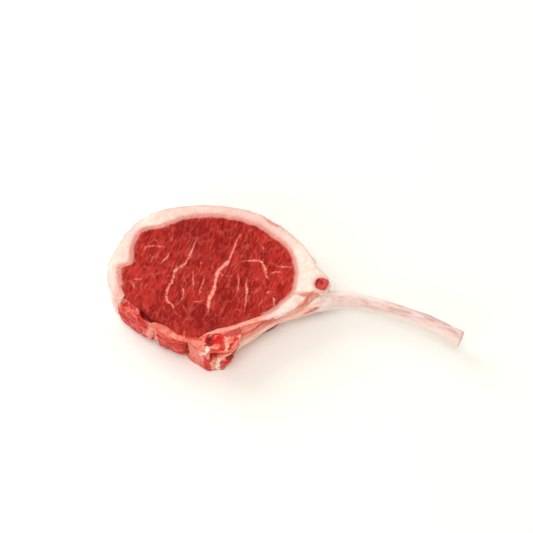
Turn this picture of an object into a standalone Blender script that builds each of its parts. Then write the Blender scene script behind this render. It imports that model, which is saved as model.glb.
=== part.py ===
"""Raw lamb chop, frenched, lying flat on its cut face.

A slice across the rack: the round eye muscle, the fat cap that wraps it and runs out as a thin seam
along the rib, a small muscle at the cap's corner, the rib with strips of meat above and below it, the
sawn piece of backbone, and two strips of meat along the side where the backbone was sawn away.

Millimetres times MM give metres. X runs along the bared rib, Y from the backbone to the fat, Z up.
The origin is under the middle of the slice, on the surface it lies on.
"""

from math import cos, pi, sin

import bpy
import bmesh

MM = 0.001

# Driving sizes.
THICKNESS = 17.0        # the slice, from the face it lies on to the upper cut face
CLEARANCE = 0.3         # left between neighbouring pieces
CUT_EDGE = 1.0          # rounding where a cut face meets a side
OVERCUT = 3.0           # how far a through cutter passes the faces

RIB_WIDTH = 5.4         # across the slice's plan, midway along the rib
RIB_HEIGHT = 8.4        # through the slice's thickness
RIB_LEVEL = THICKNESS / 2
RIB_SIDES = 20

CORNER_MUSCLE_EDGE = 0.8
STRIP_EDGE = 1.4        # the soft meat strips are rounded more than the cut faces
STRIP_DROP = 1.6        # the strips stand this much lower than the cut face
BACKBONE_EDGE = 1.3
UPPER_RIB_MEAT_EDGE = 1.2
LOWER_RIB_MEAT_EDGE = 0.9

# How each point of an outline is passed: on a smooth curve, or as a corner.
SMOOTH = "AUTO"
CORNER = "VECTOR"

# The eye muscle, clockwise from its left side. The low point leans on the backbone.
EYE_OUTLINE = (
    (-60.3, 1.0, SMOOTH),
    (-58.2, 9.5, SMOOTH),
    (-53.5, 18.5, SMOOTH),
    (-42.0, 23.0, SMOOTH),
    (-27.0, 25.7, SMOOTH),
    (-12.0, 22.6, SMOOTH),
    (-1.0, 15.4, SMOOTH),
    (3.8, 4.5, SMOOTH),
    (1.4, -6.0, SMOOTH),
    (-8.8, -14.0, SMOOTH),
    (-21.5, -18.2, SMOOTH),
    (-31.7, -23.2, SMOOTH),
    (-42.0, -18.2, SMOOTH),
    (-53.5, -11.5, SMOOTH),
)

# The fat: round the outside to the corner, back along the seam, and home through the eye, which is cut out.
FAT_OUTLINE = (
    (-61.9, -5.8, CORNER),
    (-64.0, -0.8, SMOOTH),
    (-65.3, 4.8, SMOOTH),
    (-63.2, 11.0, SMOOTH),
    (-58.4, 19.4, SMOOTH),
    (-50.8, 26.4, SMOOTH),
    (-36.0, 30.3, SMOOTH),
    (-22.0, 29.8, SMOOTH),
    (-8.0, 25.6, SMOOTH),
    (3.0, 17.3, SMOOTH),
    (9.6, 8.7, SMOOTH),
    (13.2, 2.0, SMOOTH),
    (11.2, -3.6, SMOOTH),
    (3.2, -7.6, SMOOTH),
    (-8.6, -15.9, SMOOTH),
    (-20.0, -19.7, SMOOTH),
    (-26.8, -22.6, CORNER),
    (-28.0, -17.0, CORNER),
    (-14.0, -4.0, SMOOTH),
    (-12.0, 8.0, SMOOTH),
    (-30.0, 15.0, SMOOTH),
    (-49.0, 9.0, SMOOTH),
    (-54.0, -6.0, CORNER),
)

CORNER_MUSCLE_OUTLINE = (
    (10.3, -1.6, SMOOTH),
    (12.6, 1.1, SMOOTH),
    (15.2, -1.6, SMOOTH),
    (14.4, -5.2, SMOOTH),
    (11.2, -4.6, SMOOTH),
)

# Centre line of the rib from the backbone to its sawn tip, with its size as a share of the widths above.
RIB_LINE = (
    (-20.4, -23.2, 0.92),
    (-13.6, -17.6, 0.98),
    (-5.0, -12.3, 1.04),
    (4.0, -8.6, 1.10),
    (13.0, -5.6, 1.14),
    (21.0, -5.0, 1.06),
    (31.0, -6.8, 0.98),
    (42.0, -10.5, 0.94),
    (52.0, -14.6, 0.96),
    (63.4, -20.8, 1.04),
)

# Meat between this rib and the next ones, above and below it.
UPPER_RIB_MEAT_OUTLINE = (
    (-18.0, -22.2, SMOOTH),
    (-10.6, -18.6, SMOOTH),
    (-2.8, -14.6, SMOOTH),
    (5.4, -11.5, SMOOTH),
    (13.0, -8.9, SMOOTH),
    (16.6, -5.8, SMOOTH),
    (8.0, -3.0, SMOOTH),
    (-6.0, -11.0, SMOOTH),
    (-16.0, -17.0, SMOOTH),
)
LOWER_RIB_MEAT_OUTLINE = (
    (-5.0, -14.4, SMOOTH),
    (5.2, -10.8, SMOOTH),
    (12.0, -8.6, SMOOTH),
    (16.0, -5.6, SMOOTH),
    (8.0, -3.5, SMOOTH),
    (-4.0, -10.0, SMOOTH),
)

# Under the rib the side leans in: a wedge carried along the rib clears it, out from the rib's middle and up.
UNDERCUT_PROFILE = (
    (3.6, RIB_LEVEL - 2.6),
    (-1.2, -1.5),
    (12.0, -1.5),
    (12.0, RIB_LEVEL - 2.6),
)

BACKBONE_OUTLINE = (
    (-36.6, -21.6, SMOOTH),
    (-35.2, -24.6, SMOOTH),
    (-31.2, -27.4, SMOOTH),
    (-27.6, -30.1, SMOOTH),
    (-24.6, -29.2, SMOOTH),
    (-21.6, -29.4, SMOOTH),
    (-18.9, -25.4, SMOOTH),
    (-17.8, -20.4, SMOOTH),
    (-22.0, -16.0, SMOOTH),
    (-31.5, -20.0, SMOOTH),
)

# The groove in the sawn side of the backbone, between its two knuckles.
GROOVE_RADIUS = 2.6
GROOVE_START = (-23.4, -31.6, -1.0)
GROOVE_END = (-26.4, -30.8, 13.5)

# Strips of meat on the sawn side, from the fat to the backbone.
UPPER_STRIP_OUTLINE = (
    (-60.2, -6.4, SMOOTH),
    (-61.0, -8.8, SMOOTH),
    (-57.0, -12.6, SMOOTH),
    (-51.6, -16.0, SMOOTH),
    (-47.6, -18.4, SMOOTH),
    (-46.2, -15.4, SMOOTH),
    (-52.0, -9.0, SMOOTH),
    (-57.5, -4.5, SMOOTH),
)
LOWER_STRIP_OUTLINE = (
    (-47.0, -17.0, SMOOTH),
    (-46.2, -19.8, SMOOTH),
    (-41.8, -22.4, SMOOTH),
    (-37.2, -25.0, SMOOTH),
    (-35.2, -22.0, SMOOTH),
    (-38.5, -16.5, SMOOTH),
    (-44.0, -14.0, SMOOTH),
)

# Colour, roughness and how much light goes into each kind of tissue.
MUSCLE = ((0.42, 0.035, 0.024, 1.0), 0.35, 0.15)
DARK_MUSCLE = ((0.33, 0.025, 0.022, 1.0), 0.35, 0.15)
RIB_MEAT = ((0.62, 0.15, 0.10, 1.0), 0.35, 0.15)
FAT = ((0.88, 0.76, 0.66, 1.0), 0.42, 0.20)
BONE = ((0.82, 0.66, 0.60, 1.0), 0.45, 0.08)
BACKBONE = ((0.72, 0.26, 0.17, 1.0), 0.40, 0.10)


def clear_scene():
    """Removes whatever the scene holds."""
    for item in list(bpy.data.objects):
        bpy.data.objects.remove(item)


def new_collection(name):
    """A collection linked to the scene."""
    collection = bpy.data.collections.new(name)
    bpy.context.scene.collection.children.link(collection)
    return collection


def new_material(name, tissue):
    """A Principled material for one tissue: colour, roughness, subsurface weight."""
    colour, roughness, subsurface = tissue
    material = bpy.data.materials.new(name)
    material.use_nodes = True
    shader = material.node_tree.nodes["Principled BSDF"]
    shader.inputs["Base Color"].default_value = colour
    shader.inputs["Roughness"].default_value = roughness
    shader.inputs["Metallic"].default_value = 0.0
    shader.inputs["Subsurface Weight"].default_value = subsurface
    shader.inputs["Subsurface Scale"].default_value = 0.002
    material.diffuse_color = colour
    return material


def curve_to_mesh(curve, collection):
    """Replaces a curve object by a closed mesh object of the same name and place."""
    bpy.context.view_layer.update()
    evaluated = curve.evaluated_get(bpy.context.evaluated_depsgraph_get())
    mesh = bpy.data.meshes.new_from_object(evaluated)
    shape = bmesh.new()
    shape.from_mesh(mesh)
    bmesh.ops.remove_doubles(shape, verts=shape.verts, dist=0.00001)
    bmesh.ops.dissolve_degenerate(shape, edges=shape.edges, dist=0.00001)
    bmesh.ops.recalc_face_normals(shape, faces=shape.faces)
    shape.to_mesh(mesh)
    shape.free()
    name = curve.name
    place = curve.matrix_world.copy()
    bpy.data.objects.remove(curve)
    solid = bpy.data.objects.new(name, mesh)
    solid.matrix_world = place
    collection.objects.link(solid)
    return solid


def slab(name, outline, low, high, edge, collection, grow=0.0):
    """A flat piece with the outline, from low to high, its rims rounded to edge and its side moved out by grow."""
    data = bpy.data.curves.new(name, "CURVE")
    data.dimensions = "2D"
    data.fill_mode = "BOTH"
    data.resolution_u = 5
    data.extrude = ((high - low) / 2 - edge) * MM
    data.bevel_depth = edge * MM
    data.bevel_resolution = 2
    data.offset = (grow - edge) * MM
    spline = data.splines.new("BEZIER")
    spline.bezier_points.add(len(outline) - 1)
    for knot, (x, y, kind) in zip(spline.bezier_points, outline):
        knot.co = (x * MM, y * MM, 0.0)
        knot.handle_left_type = kind
        knot.handle_right_type = kind
    spline.use_cyclic_u = True
    curve = bpy.data.objects.new(name, data)
    curve.location.z = (low + high) / 2 * MM
    collection.objects.link(curve)
    return curve_to_mesh(curve, collection)


def through_cutter(name, outline, collection):
    """Cuts a piece's place right through its neighbours, with the clearance all round."""
    cutter = slab(name, outline, -OVERCUT, THICKNESS + OVERCUT, 0.0, collection, CLEARANCE)
    return mark_cutter(cutter)


def mark_cutter(cutter):
    """Shows a cutter as wire only."""
    cutter.hide_render = True
    cutter.display_type = "WIRE"
    return cutter


def profile_curve(name, points, collection):
    """A closed outline that a path carries along itself."""
    data = bpy.data.curves.new(name, "CURVE")
    data.dimensions = "2D"
    spline = data.splines.new("POLY")
    spline.points.add(len(points) - 1)
    for point, (x, y) in zip(spline.points, points):
        point.co = (x * MM, y * MM, 0.0, 1.0)
    spline.use_cyclic_u = True
    profile = bpy.data.objects.new(name, data)
    collection.objects.link(profile)
    return mark_cutter(profile)


def ellipse(width, height, sides):
    """Points round an ellipse."""
    return [
        (width / 2 * cos(2 * pi * k / sides), height / 2 * sin(2 * pi * k / sides))
        for k in range(sides)
    ]


def along_rib(name, profile, level, collection, tapered=True):
    """The profile carried along the rib's line at one level, sized by the line's shares if tapered."""
    data = bpy.data.curves.new(name, "CURVE")
    data.dimensions = "3D"
    data.twist_mode = "Z_UP"
    data.resolution_u = 5
    data.bevel_mode = "OBJECT"
    data.bevel_object = profile
    data.use_fill_caps = True
    spline = data.splines.new("BEZIER")
    spline.bezier_points.add(len(RIB_LINE) - 1)
    for knot, (x, y, share) in zip(spline.bezier_points, RIB_LINE):
        knot.co = (x * MM, y * MM, level * MM)
        knot.radius = share if tapered else 1.0
        knot.handle_left_type = SMOOTH
        knot.handle_right_type = SMOOTH
    curve = bpy.data.objects.new(name, data)
    collection.objects.link(curve)
    return curve_to_mesh(curve, collection)


def groove_cutter(name, collection):
    """A round bar laid along the groove between the backbone's knuckles."""
    data = bpy.data.curves.new(name, "CURVE")
    data.dimensions = "3D"
    data.bevel_depth = GROOVE_RADIUS * MM
    data.bevel_resolution = 3
    data.use_fill_caps = True
    spline = data.splines.new("POLY")
    spline.points.add(1)
    for point, place in zip(spline.points, (GROOVE_START, GROOVE_END)):
        point.co = (*(value * MM for value in place), 1.0)
    curve = bpy.data.objects.new(name, data)
    collection.objects.link(curve)
    return mark_cutter(curve_to_mesh(curve, collection))


def cut(piece, *cutters):
    """Takes each cutter's shape out of the piece."""
    for cutter in cutters:
        boolean = piece.modifiers.new("Cut " + cutter.name, "BOOLEAN")
        boolean.operation = "DIFFERENCE"
        boolean.solver = "EXACT"
        boolean.object = cutter


def finish(piece, material):
    """Gives a piece its material and smooth shading up to its sharp rims."""
    piece.data.materials.clear()
    piece.data.materials.append(material)
    piece.data.shade_smooth()
    piece.data.set_sharp_from_angle(angle=pi / 5)


def build():
    """Makes every piece, then cuts each one clear of its neighbours."""
    clear_scene()
    parts = new_collection("raw_lamb_chop")
    cutters = new_collection("cutters")

    rib_section = profile_curve("rib_section", ellipse(RIB_WIDTH, RIB_HEIGHT, RIB_SIDES), cutters)
    room = 2 * CLEARANCE
    clear_section = ellipse(RIB_WIDTH + room, RIB_HEIGHT + room, RIB_SIDES)
    rib_room_section = profile_curve("rib_room_section", clear_section, cutters)
    undercut_section = profile_curve("undercut_section", UNDERCUT_PROFILE, cutters)

    rib = along_rib("rib_bone", rib_section, RIB_LEVEL, parts)
    rib_room = mark_cutter(along_rib("rib_room", rib_room_section, RIB_LEVEL, cutters))
    undercut = mark_cutter(along_rib("undercut", undercut_section, 0.0, cutters, tapered=False))
    eye_room = through_cutter("eye_room", EYE_OUTLINE, cutters)
    fat_room = through_cutter("fat_room", FAT_OUTLINE, cutters)
    corner_room = through_cutter("corner_room", CORNER_MUSCLE_OUTLINE, cutters)
    backbone_room = through_cutter("backbone_room", BACKBONE_OUTLINE, cutters)
    strip_room = through_cutter("strip_room", LOWER_STRIP_OUTLINE, cutters)
    groove = groove_cutter("groove", cutters)

    eye = slab("eye_muscle", EYE_OUTLINE, 0.0, THICKNESS, CUT_EDGE, parts)
    cut(eye, rib_room, undercut)
    fat = slab("fat_cap", FAT_OUTLINE, 0.0, THICKNESS, CUT_EDGE, parts)
    cut(fat, eye_room, corner_room, rib_room, undercut)
    corner = slab("cap_muscle", CORNER_MUSCLE_OUTLINE, 0.0, THICKNESS, CORNER_MUSCLE_EDGE, parts)
    cut(corner, rib_room)
    upper_meat = slab(
        "rib_meat_upper", UPPER_RIB_MEAT_OUTLINE, RIB_LEVEL, THICKNESS, UPPER_RIB_MEAT_EDGE, parts
    )
    cut(upper_meat, eye_room, fat_room, corner_room, rib_room, backbone_room)
    lower_meat = slab(
        "rib_meat_lower", LOWER_RIB_MEAT_OUTLINE, 0.0, RIB_LEVEL - 1.0, LOWER_RIB_MEAT_EDGE, parts
    )
    cut(lower_meat, eye_room, fat_room, corner_room, rib_room, undercut)
    backbone = slab("backbone", BACKBONE_OUTLINE, 0.0, THICKNESS, BACKBONE_EDGE, parts)
    cut(backbone, eye_room, fat_room, rib_room, groove)
    strip_top = THICKNESS - STRIP_DROP
    upper_strip = slab("side_meat_upper", UPPER_STRIP_OUTLINE, 0.0, strip_top, STRIP_EDGE, parts)
    cut(upper_strip, eye_room, fat_room, strip_room)
    lower_strip = slab("side_meat_lower", LOWER_STRIP_OUTLINE, 0.0, strip_top, STRIP_EDGE, parts)
    cut(lower_strip, eye_room, backbone_room)

    muscle = new_material("muscle", MUSCLE)
    finish(eye, muscle)
    finish(fat, new_material("fat", FAT))
    finish(corner, new_material("dark_muscle", DARK_MUSCLE))
    finish(rib, new_material("bone", BONE))
    rib_meat = new_material("rib_meat", RIB_MEAT)
    for piece in (upper_meat, lower_meat):
        finish(piece, rib_meat)
    finish(backbone, new_material("backbone", BACKBONE))
    for piece in (upper_strip, lower_strip):
        finish(piece, muscle)


build()
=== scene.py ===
"""Raw lamb chop, frenched and lying on its cut face: the fine surface and the finish of every tissue.

Millimetres times MM give metres. X runs along the bared rib, Y from the backbone to the fat, Z up.
Every piece is a closed sheet: a grid of points worked out at once, whose rows follow one another along
the piece while its columns run round it and join up. A fan of triangles closes the first and last row.
"""

from itertools import product
from math import cos, pi, radians, sin

import bpy
import numpy as np
from bpy.props import FloatProperty, FloatVectorProperty, PointerProperty
from bpy.types import Operator, Panel, PropertyGroup
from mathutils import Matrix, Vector


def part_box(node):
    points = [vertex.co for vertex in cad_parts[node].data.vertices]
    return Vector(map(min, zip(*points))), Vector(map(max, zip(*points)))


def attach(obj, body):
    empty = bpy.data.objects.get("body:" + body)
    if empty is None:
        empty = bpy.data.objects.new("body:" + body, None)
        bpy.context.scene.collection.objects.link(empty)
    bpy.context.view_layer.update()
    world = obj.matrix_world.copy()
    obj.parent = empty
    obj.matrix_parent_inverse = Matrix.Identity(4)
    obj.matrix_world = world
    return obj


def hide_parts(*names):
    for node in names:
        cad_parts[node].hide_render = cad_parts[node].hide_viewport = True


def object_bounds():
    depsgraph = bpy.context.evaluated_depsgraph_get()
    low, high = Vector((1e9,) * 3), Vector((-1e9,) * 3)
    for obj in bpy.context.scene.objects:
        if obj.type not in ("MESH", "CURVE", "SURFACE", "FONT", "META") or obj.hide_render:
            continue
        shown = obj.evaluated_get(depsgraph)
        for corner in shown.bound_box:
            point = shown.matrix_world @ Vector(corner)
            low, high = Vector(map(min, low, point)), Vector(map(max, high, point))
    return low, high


bl_info = {
    "name": "Raw Lamb Chop",
    "version": (1, 0, 0),
    "blender": (4, 5, 0),
    "location": "View3D > Sidebar > Lamb Chop",
    "description": "Builds the muscle, fat and bone of a raw lamb chop round its packed solids",
    "category": "Object",
}

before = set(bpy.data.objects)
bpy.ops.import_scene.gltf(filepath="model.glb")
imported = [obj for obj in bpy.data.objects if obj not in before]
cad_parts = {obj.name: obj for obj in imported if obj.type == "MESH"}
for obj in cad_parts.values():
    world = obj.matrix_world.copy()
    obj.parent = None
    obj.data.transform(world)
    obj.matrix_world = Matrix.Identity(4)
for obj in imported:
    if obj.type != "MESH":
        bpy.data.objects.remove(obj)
CAD_BOX = [list(corner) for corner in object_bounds()]

MM = 0.001
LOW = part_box("eye_muscle")[0].z / MM
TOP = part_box("eye_muscle")[1].z / MM
MIDDLE = (LOW + TOP) / 2
THICKNESS = TOP - LOW
SIDE_MEAT_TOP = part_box("side_meat_upper")[1].z / MM
RIB_LEVEL = (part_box("rib_bone")[0].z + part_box("rib_bone")[1].z) / 2 / MM

# Plan of the eye muscle, clockwise from its left side, with the fat's notch and the point by the backbone.
EYE_OUTLINE = (
    (-61.2, -0.4), (-60.7, 4.6), (-57.6, 6.4), (-56.9, 13.0), (-54.3, 19.0), (-46.5, 21.7),
    (-36.6, 25.3), (-27.6, 26.1), (-18.3, 24.7), (-10.4, 22.0), (-4.1, 17.3), (1.0, 12.4),
    (3.5, 6.7), (3.8, 1.0), (2.6, -5.4), (-2.0, -10.6), (-8.0, -14.8), (-15.6, -17.6),
    (-22.6, -20.0), (-29.0, -22.0), (-32.4, -23.9), (-35.8, -23.1), (-39.4, -21.7), (-43.2, -18.6),
    (-48.6, -15.9), (-52.0, -12.9), (-55.8, -9.9), (-59.4, -5.9),
)
EYE_CENTRE = (-28.0, 2.5)

# Outer edge of the fat, from the backbone's side round to the corner and back along the rib as a seam.
FAT_EDGE = (
    (-59.8, -9.8), (-62.6, -6.6), (-64.4, -0.8), (-65.2, 4.8), (-63.2, 11.2), (-58.4, 19.4), (-50.8, 26.4),
    (-36.0, 30.3), (-22.0, 29.8), (-8.0, 25.6), (3.0, 17.3), (9.6, 8.7), (12.3, 3.5), (13.9, 1.6),
    (15.2, -0.6), (15.4, -3.0), (13.9, -4.9), (11.2, -5.5), (8.4, -6.5), (4.7, -10.4), (0.7, -13.3),
    (-3.7, -15.4), (-9.0, -16.9), (-12.6, -18.1), (-16.5, -19.5), (-19.4, -20.3), (-22.6, -21.1),
    (-25.4, -21.9), (-28.4, -22.8), (-31.2, -24.2),
)

# The crease where the fat's corner folds over the rib's strip of meat, and the scrap of meat in it: each
# place with how far it is felt.
FAT_FOLD = ((2.2, -6.6, 0.0, 0.7), (5.2, -6.5, 0.0, 1.5), (8.6, -6.3, 0.0, 1.2), (10.4, -5.2, 0.0, 0.7))
FAT_FOLD_SCRAP = ((5.6, -7.0, 0.0, 0.8), (7.6, -6.7, 0.0, 1.1), (9.4, -6.0, 0.0, 0.7))

CORNER_MEAT_OUTLINE = (
    (10.5, -2.4), (11.2, -0.3), (13.4, 0.4), (14.9, -0.7), (15.0, -3.4), (13.8, -4.9), (11.1, -4.6),
)
CORNER_MEAT_CENTRE = (12.8, -2.3)

# The rib's line from the backbone to the sawn tip: x, y, and its size as a share of the middle's.
RIB_LINE = (
    (-20.4, -23.2, 0.92), (-13.6, -17.5, 0.97), (-5.0, -11.6, 1.01), (4.0, -8.1, 1.07),
    (13.0, -5.6, 1.12), (21.0, -5.0, 1.03), (31.0, -6.7, 0.95), (42.0, -10.3, 0.90),
    (52.0, -14.4, 0.92), (63.4, -20.8, 0.98),
)
RIB_WIDTH = 5.4
RIB_HEIGHT = 8.4

# Rings of the sawn tip: share of the way out from its middle, and mm that the ring stands out.
TIP_RINGS = (
    (0.97, 0.10), (0.93, 0.16), (0.88, 0.18), (0.80, 0.16), (0.70, 0.05), (0.60, -0.05), (0.50, -0.10),
    (0.40, -0.10), (0.30, -0.12), (0.20, -0.10), (0.10, -0.10),
)

BACKBONE_OUTLINE = (
    (-36.6, -21.6), (-35.2, -24.4), (-31.6, -26.8), (-28.6, -28.6), (-24.6, -28.7), (-21.0, -28.3),
    (-17.9, -25.4), (-16.9, -21.6), (-18.8, -18.8), (-23.6, -20.2), (-28.0, -22.0), (-31.8, -23.0),
    (-34.6, -21.6),
)
BACKBONE_CENTRE = (-26.4, -24.6)

# What shows on the sawn backbone, laid on in this order: lines of (x, y, z, reach), how far they stand out,
# and the setting that holds their colour. In the dips and the deep pit, the 'hollow' colour is deep red
# darkened as painted shade.
BACKBONE_FEATURES = (
    (((-35.6, -22.6, 17.0, 1.6), (-33.2, -23.6, 17.0, 1.2), (-30.6, -24.4, 17.0, 0.8)), 0.00, "chine_red"),
    (((-34.6, -26.0, 15.6, 1.8), (-33.0, -26.8, 13.4, 1.4)), 0.00, "chine_red"),
    (((-22.9, -25.6, 17.0, 1.5), (-22.6, -27.6, 17.0, 1.3)), 0.00, "chine_red"),
    (((-22.0, -22.4, 17.0, 1.2), (-19.6, -22.0, 17.0, 1.9), (-17.0, -21.2, 17.0, 2.3)), 0.05, "chine_muted"),
    (((-28.3, -24.6, 17.0, 1.3), (-28.4, -26.6, 17.0, 0.9)), 0.00, "knuckle"),
    (((-26.8, -24.2, 17.0, 3.2), (-24.9, -23.9, 17.0, 3.3)), -0.30, "marrow"),
    (((-27.4, -23.4, 17.0, 1.2), (-27.6, -25.6, 17.0, 1.5), (-26.8, -26.0, 17.0, 1.2)), -0.25, "hollow"),
    (((-24.8, -27.7, 17.0, 0.9), (-22.8, -28.2, 17.0, 1.0)), -0.10, "knuckle"),
    (((-21.5, -24.2, 17.0, 0.6), (-21.2, -26.4, 17.0, 1.0), (-21.2, -28.4, 16.4, 0.9),
      (-21.6, -28.8, 13.4, 0.6)), 0.15, "gristle_pink"),
    (((-21.3, -25.4, 17.0, 0.5), (-21.2, -27.6, 17.0, 0.6)), 0.10, "cartilage"),
    (((-18.2, -24.0, 17.0, 1.1), (-18.9, -25.2, 17.0, 0.5), (-19.6, -26.0, 17.0, 1.1),
      (-20.2, -27.0, 17.0, 0.5), (-20.5, -27.7, 17.0, 1.0)), -0.20, "knuckle"),
    (((-16.7, -22.8, 16.4, 0.9), (-17.4, -25.2, 15.0, 1.1), (-18.8, -27.3, 13.4, 0.9)),
     0.05, "gristle_pink"),
    (((-28.2, -27.4, 17.0, 0.7), (-26.2, -28.0, 17.0, 0.8), (-24.6, -27.7, 17.0, 0.5)),
     0.10, "gristle_pink"),
    (((-30.8, -28.3, 10.0, 1.4), (-30.2, -28.6, 4.8, 1.6)), 0.50, "gristle_rose"),
    (((-28.1, -28.9, 11.2, 1.8), (-28.5, -28.9, 5.4, 2.5), (-28.4, -28.6, 0.8, 2.0)), 0.90, "knuckle"),
    (((-23.9, -28.8, 13.8, 2.0), (-21.6, -28.6, 14.2, 1.9)), -0.20, "chine_red"),
    (((-27.2, -28.3, 16.7, 0.9), (-24.8, -28.5, 16.7, 1.0)), 0.00, "chine_red"),
    (((-26.2, -28.8, 14.6, 2.4), (-26.0, -28.9, 11.0, 2.4)), -1.90, "knuckle"),
    (((-26.8, -28.9, 14.0, 1.5), (-26.5, -28.9, 11.8, 1.2)), 0.00, "hollow"),
    (((-23.0, -28.8, 3.0, 2.7), (-21.9, -28.5, 6.4, 3.2), (-20.3, -27.8, 7.4, 2.9)), 0.95, "knuckle"),
    (((-21.0, -28.3, 9.6, 1.5), (-18.8, -26.8, 10.6, 2.1)), -0.20, "hollow"),
    (((-26.6, -29.0, 8.4, 1.1), (-26.5, -29.0, 4.0, 1.4), (-26.4, -28.8, 0.4, 1.4)), 0.70, "gristle_orange"),
    (((-24.9, -29.0, 0.4, 1.1), (-24.9, -29.1, 5.0, 1.1), (-24.3, -29.0, 8.9, 1.1),
      (-23.0, -28.9, 11.0, 0.8)), 0.85, "cartilage"),
    (((-22.8, -28.9, 11.2, 1.0), (-21.2, -28.6, 12.2, 1.0), (-19.6, -27.2, 13.2, 0.7),
      (-18.3, -25.2, 14.2, 0.5)), 0.50, "gristle_pink"),
    (((-27.6, -27.2, 17.0, 0.6), (-28.4, -28.5, 16.6, 1.1), (-29.2, -28.9, 15.4, 0.8),
      (-29.9, -28.7, 13.6, 1.3), (-30.6, -28.2, 12.0, 1.0), (-31.6, -27.2, 9.8, 0.6)), 0.30, "cartilage"),
    (((-27.8, -28.9, 14.6, 0.7), (-28.3, -29.0, 12.2, 0.8)), 0.10, "gristle_rose"),
)

# Which way the eye's fibres run on the cut face.
GRAIN = radians(72)

# How far inside a line of fat, in mm, a point counts as that has none near it.
FAR_OUTSIDE = -9.0

# Where the eye is duller, the groove between it and the side strips, along which the eye's edge gets painted
# shade, and the edge that no fat covers.
EYE_DULL = (
    ((-38.0, 20.0, 0.0, 9.0), (-30.0, 19.0, 0.0, 10.0), (-24.0, 14.0, 0.0, 7.0)),
    ((-38.0, -14.0, 0.0, 7.0), (-30.0, -15.0, 0.0, 9.0), (-20.0, -14.0, 0.0, 7.0)),
)
EYE_GROOVE = (
    (-52.4, -12.6, 0.0, 0.9), (-50.8, -14.2, 0.0, 2.0), (-48.8, -15.6, 0.0, 1.7), (-47.2, -16.8, 0.0, 0.8),
)
EYE_BARED_EDGE = (
    (-59.8, -7.0, 0.0), (-52.0, -13.4, 0.0), (-43.0, -19.0, 0.0), (-31.0, -24.0, 0.0),
    (-20.0, -19.2, 0.0), (-12.0, -16.4, 0.0),
)

# Marbling in the eye: the lines of fat, each point with the line's half width.
MARBLING = (
    ((-17.0, 18.0, 0.10), (-17.9, 15.2, 0.40), (-20.2, 9.4, 0.50), (-21.2, 7.0, 0.72), (-24.4, 3.2, 0.66),
     (-25.7, -1.4, 0.62), (-26.6, -5.2, 0.88), (-27.8, -8.6, 0.92), (-28.3, -14.4, 0.30)),
    ((-33.0, 17.0, 0.10), (-33.8, 13.6, 0.42), (-34.7, 10.0, 0.58), (-36.8, 6.5, 0.46), (-40.2, 3.2, 0.58),
     (-41.6, -1.4, 0.44), (-43.4, -5.2, 0.52), (-43.0, -9.2, 0.54), (-41.2, -10.9, 0.56),
     (-39.9, -14.8, 0.20)),
    ((-42.6, 10.4, 0.08), (-43.8, 8.4, 0.46), (-45.8, 5.6, 0.20)),
    ((-52.9, 8.8, 0.10), (-51.6, 12.4, 0.44), (-48.6, 13.2, 0.40), (-44.8, 13.0, 0.20)),
    ((-17.4, 6.2, 0.10), (-13.0, 7.0, 0.34), (-9.2, 6.6, 0.48), (-7.4, 2.4, 0.56), (-6.4, -0.8, 0.24)),
    ((-4.0, 4.9, 0.10), (-1.4, 4.5, 0.42), (1.6, 4.4, 0.34)),
    ((-5.6, 2.0, 0.10), (-3.8, 2.4, 0.34), (-1.8, 2.6, 0.20)),
    ((-5.4, -5.6, 0.20), (-6.6, -5.8, 0.62), (-6.0, -4.8, 0.20)),
    ((-4.6, -7.8, 0.12), (-4.4, -9.4, 0.50), (-4.2, -11.2, 0.12)),
    ((-38.6, -2.6, 0.08), (-37.4, -5.6, 0.40), (-38.4, -9.4, 0.24), (-40.2, -11.6, 0.10)),
    ((-33.6, 3.4, 0.10), (-33.9, -0.6, 0.30), (-33.4, -5.6, 0.10)),
    ((-34.0, -9.2, 0.10), (-31.6, -9.6, 0.40), (-29.6, -9.0, 0.10)),
    ((-17.6, 1.6, 0.10), (-17.4, -2.0, 0.38), (-18.0, -6.0, 0.12)),
    ((-14.6, 0.8, 0.10), (-14.4, -3.4, 0.34), (-14.6, -9.6, 0.34), (-15.2, -12.2, 0.10)),
    ((-29.8, 1.0, 0.10), (-31.0, -3.2, 0.28), (-31.6, -6.8, 0.10)),
    ((-9.8, 14.6, 0.06), (-8.2, 11.2, 0.24), (-8.8, 8.8, 0.10)),
    ((-24.6, 2.4, 0.20), (-22.4, 0.6, 0.22), (-19.8, 0.8, 0.10)),
    ((-19.4, -14.2, 0.10), (-17.6, -12.6, 0.34), (-16.2, -13.6, 0.10)),
    ((-56.6, -1.6, 0.10), (-55.6, -3.0, 0.50), (-55.2, -4.2, 0.10)),
    ((-55.2, -0.2, 0.10), (-53.8, -0.7, 0.40), (-52.6, -0.3, 0.10)),
)


# ---------------- noise and curves


def hashed(cells, seed):
    """Repeatable random numbers from 0 to 1, one for each lattice point: the fraction of a large sine."""
    weights = np.array((12.9898, 78.233, 37.719))[: cells.shape[-1]]
    value = np.sin(cells @ weights + seed * 17.31) * 43758.5453
    return value - np.floor(value)


def noise(points, size, seed):
    """Gradient noise from about -1 to 1. Each point of a lattice `size` apart pulls along its own random
    direction, and the eight pulls round a point are blended by a curve that is level at both ends."""
    cell = points / size
    base = np.floor(cell)
    inside = cell - base
    ease = inside**3 * (inside * (inside * 6 - 15) + 10)
    total = np.zeros(points.shape[:-1])
    for corner in product((0.0, 1.0), repeat=3):
        corner = np.array(corner)
        share = np.prod(np.where(corner > 0, ease, 1 - ease), axis=-1)
        knot = base + corner
        pull = np.stack([hashed(knot, seed + turn) for turn in range(3)], axis=-1) * 2 - 1
        total += share * np.sum(pull * (inside - corner), axis=-1)
    return total * 1.6


def layered(points, layers, seed):
    """Sum of noises, each given by its wavelength and height."""
    return sum(height * noise(points, size, seed + 5 * k) for k, (size, height) in enumerate(layers))


def step(value, start, end):
    """0 up to start, 1 from end, and a smooth rise between them."""
    share = np.clip((value - start) / (end - start), 0, 1)
    return share * share * (3 - 2 * share)


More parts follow.
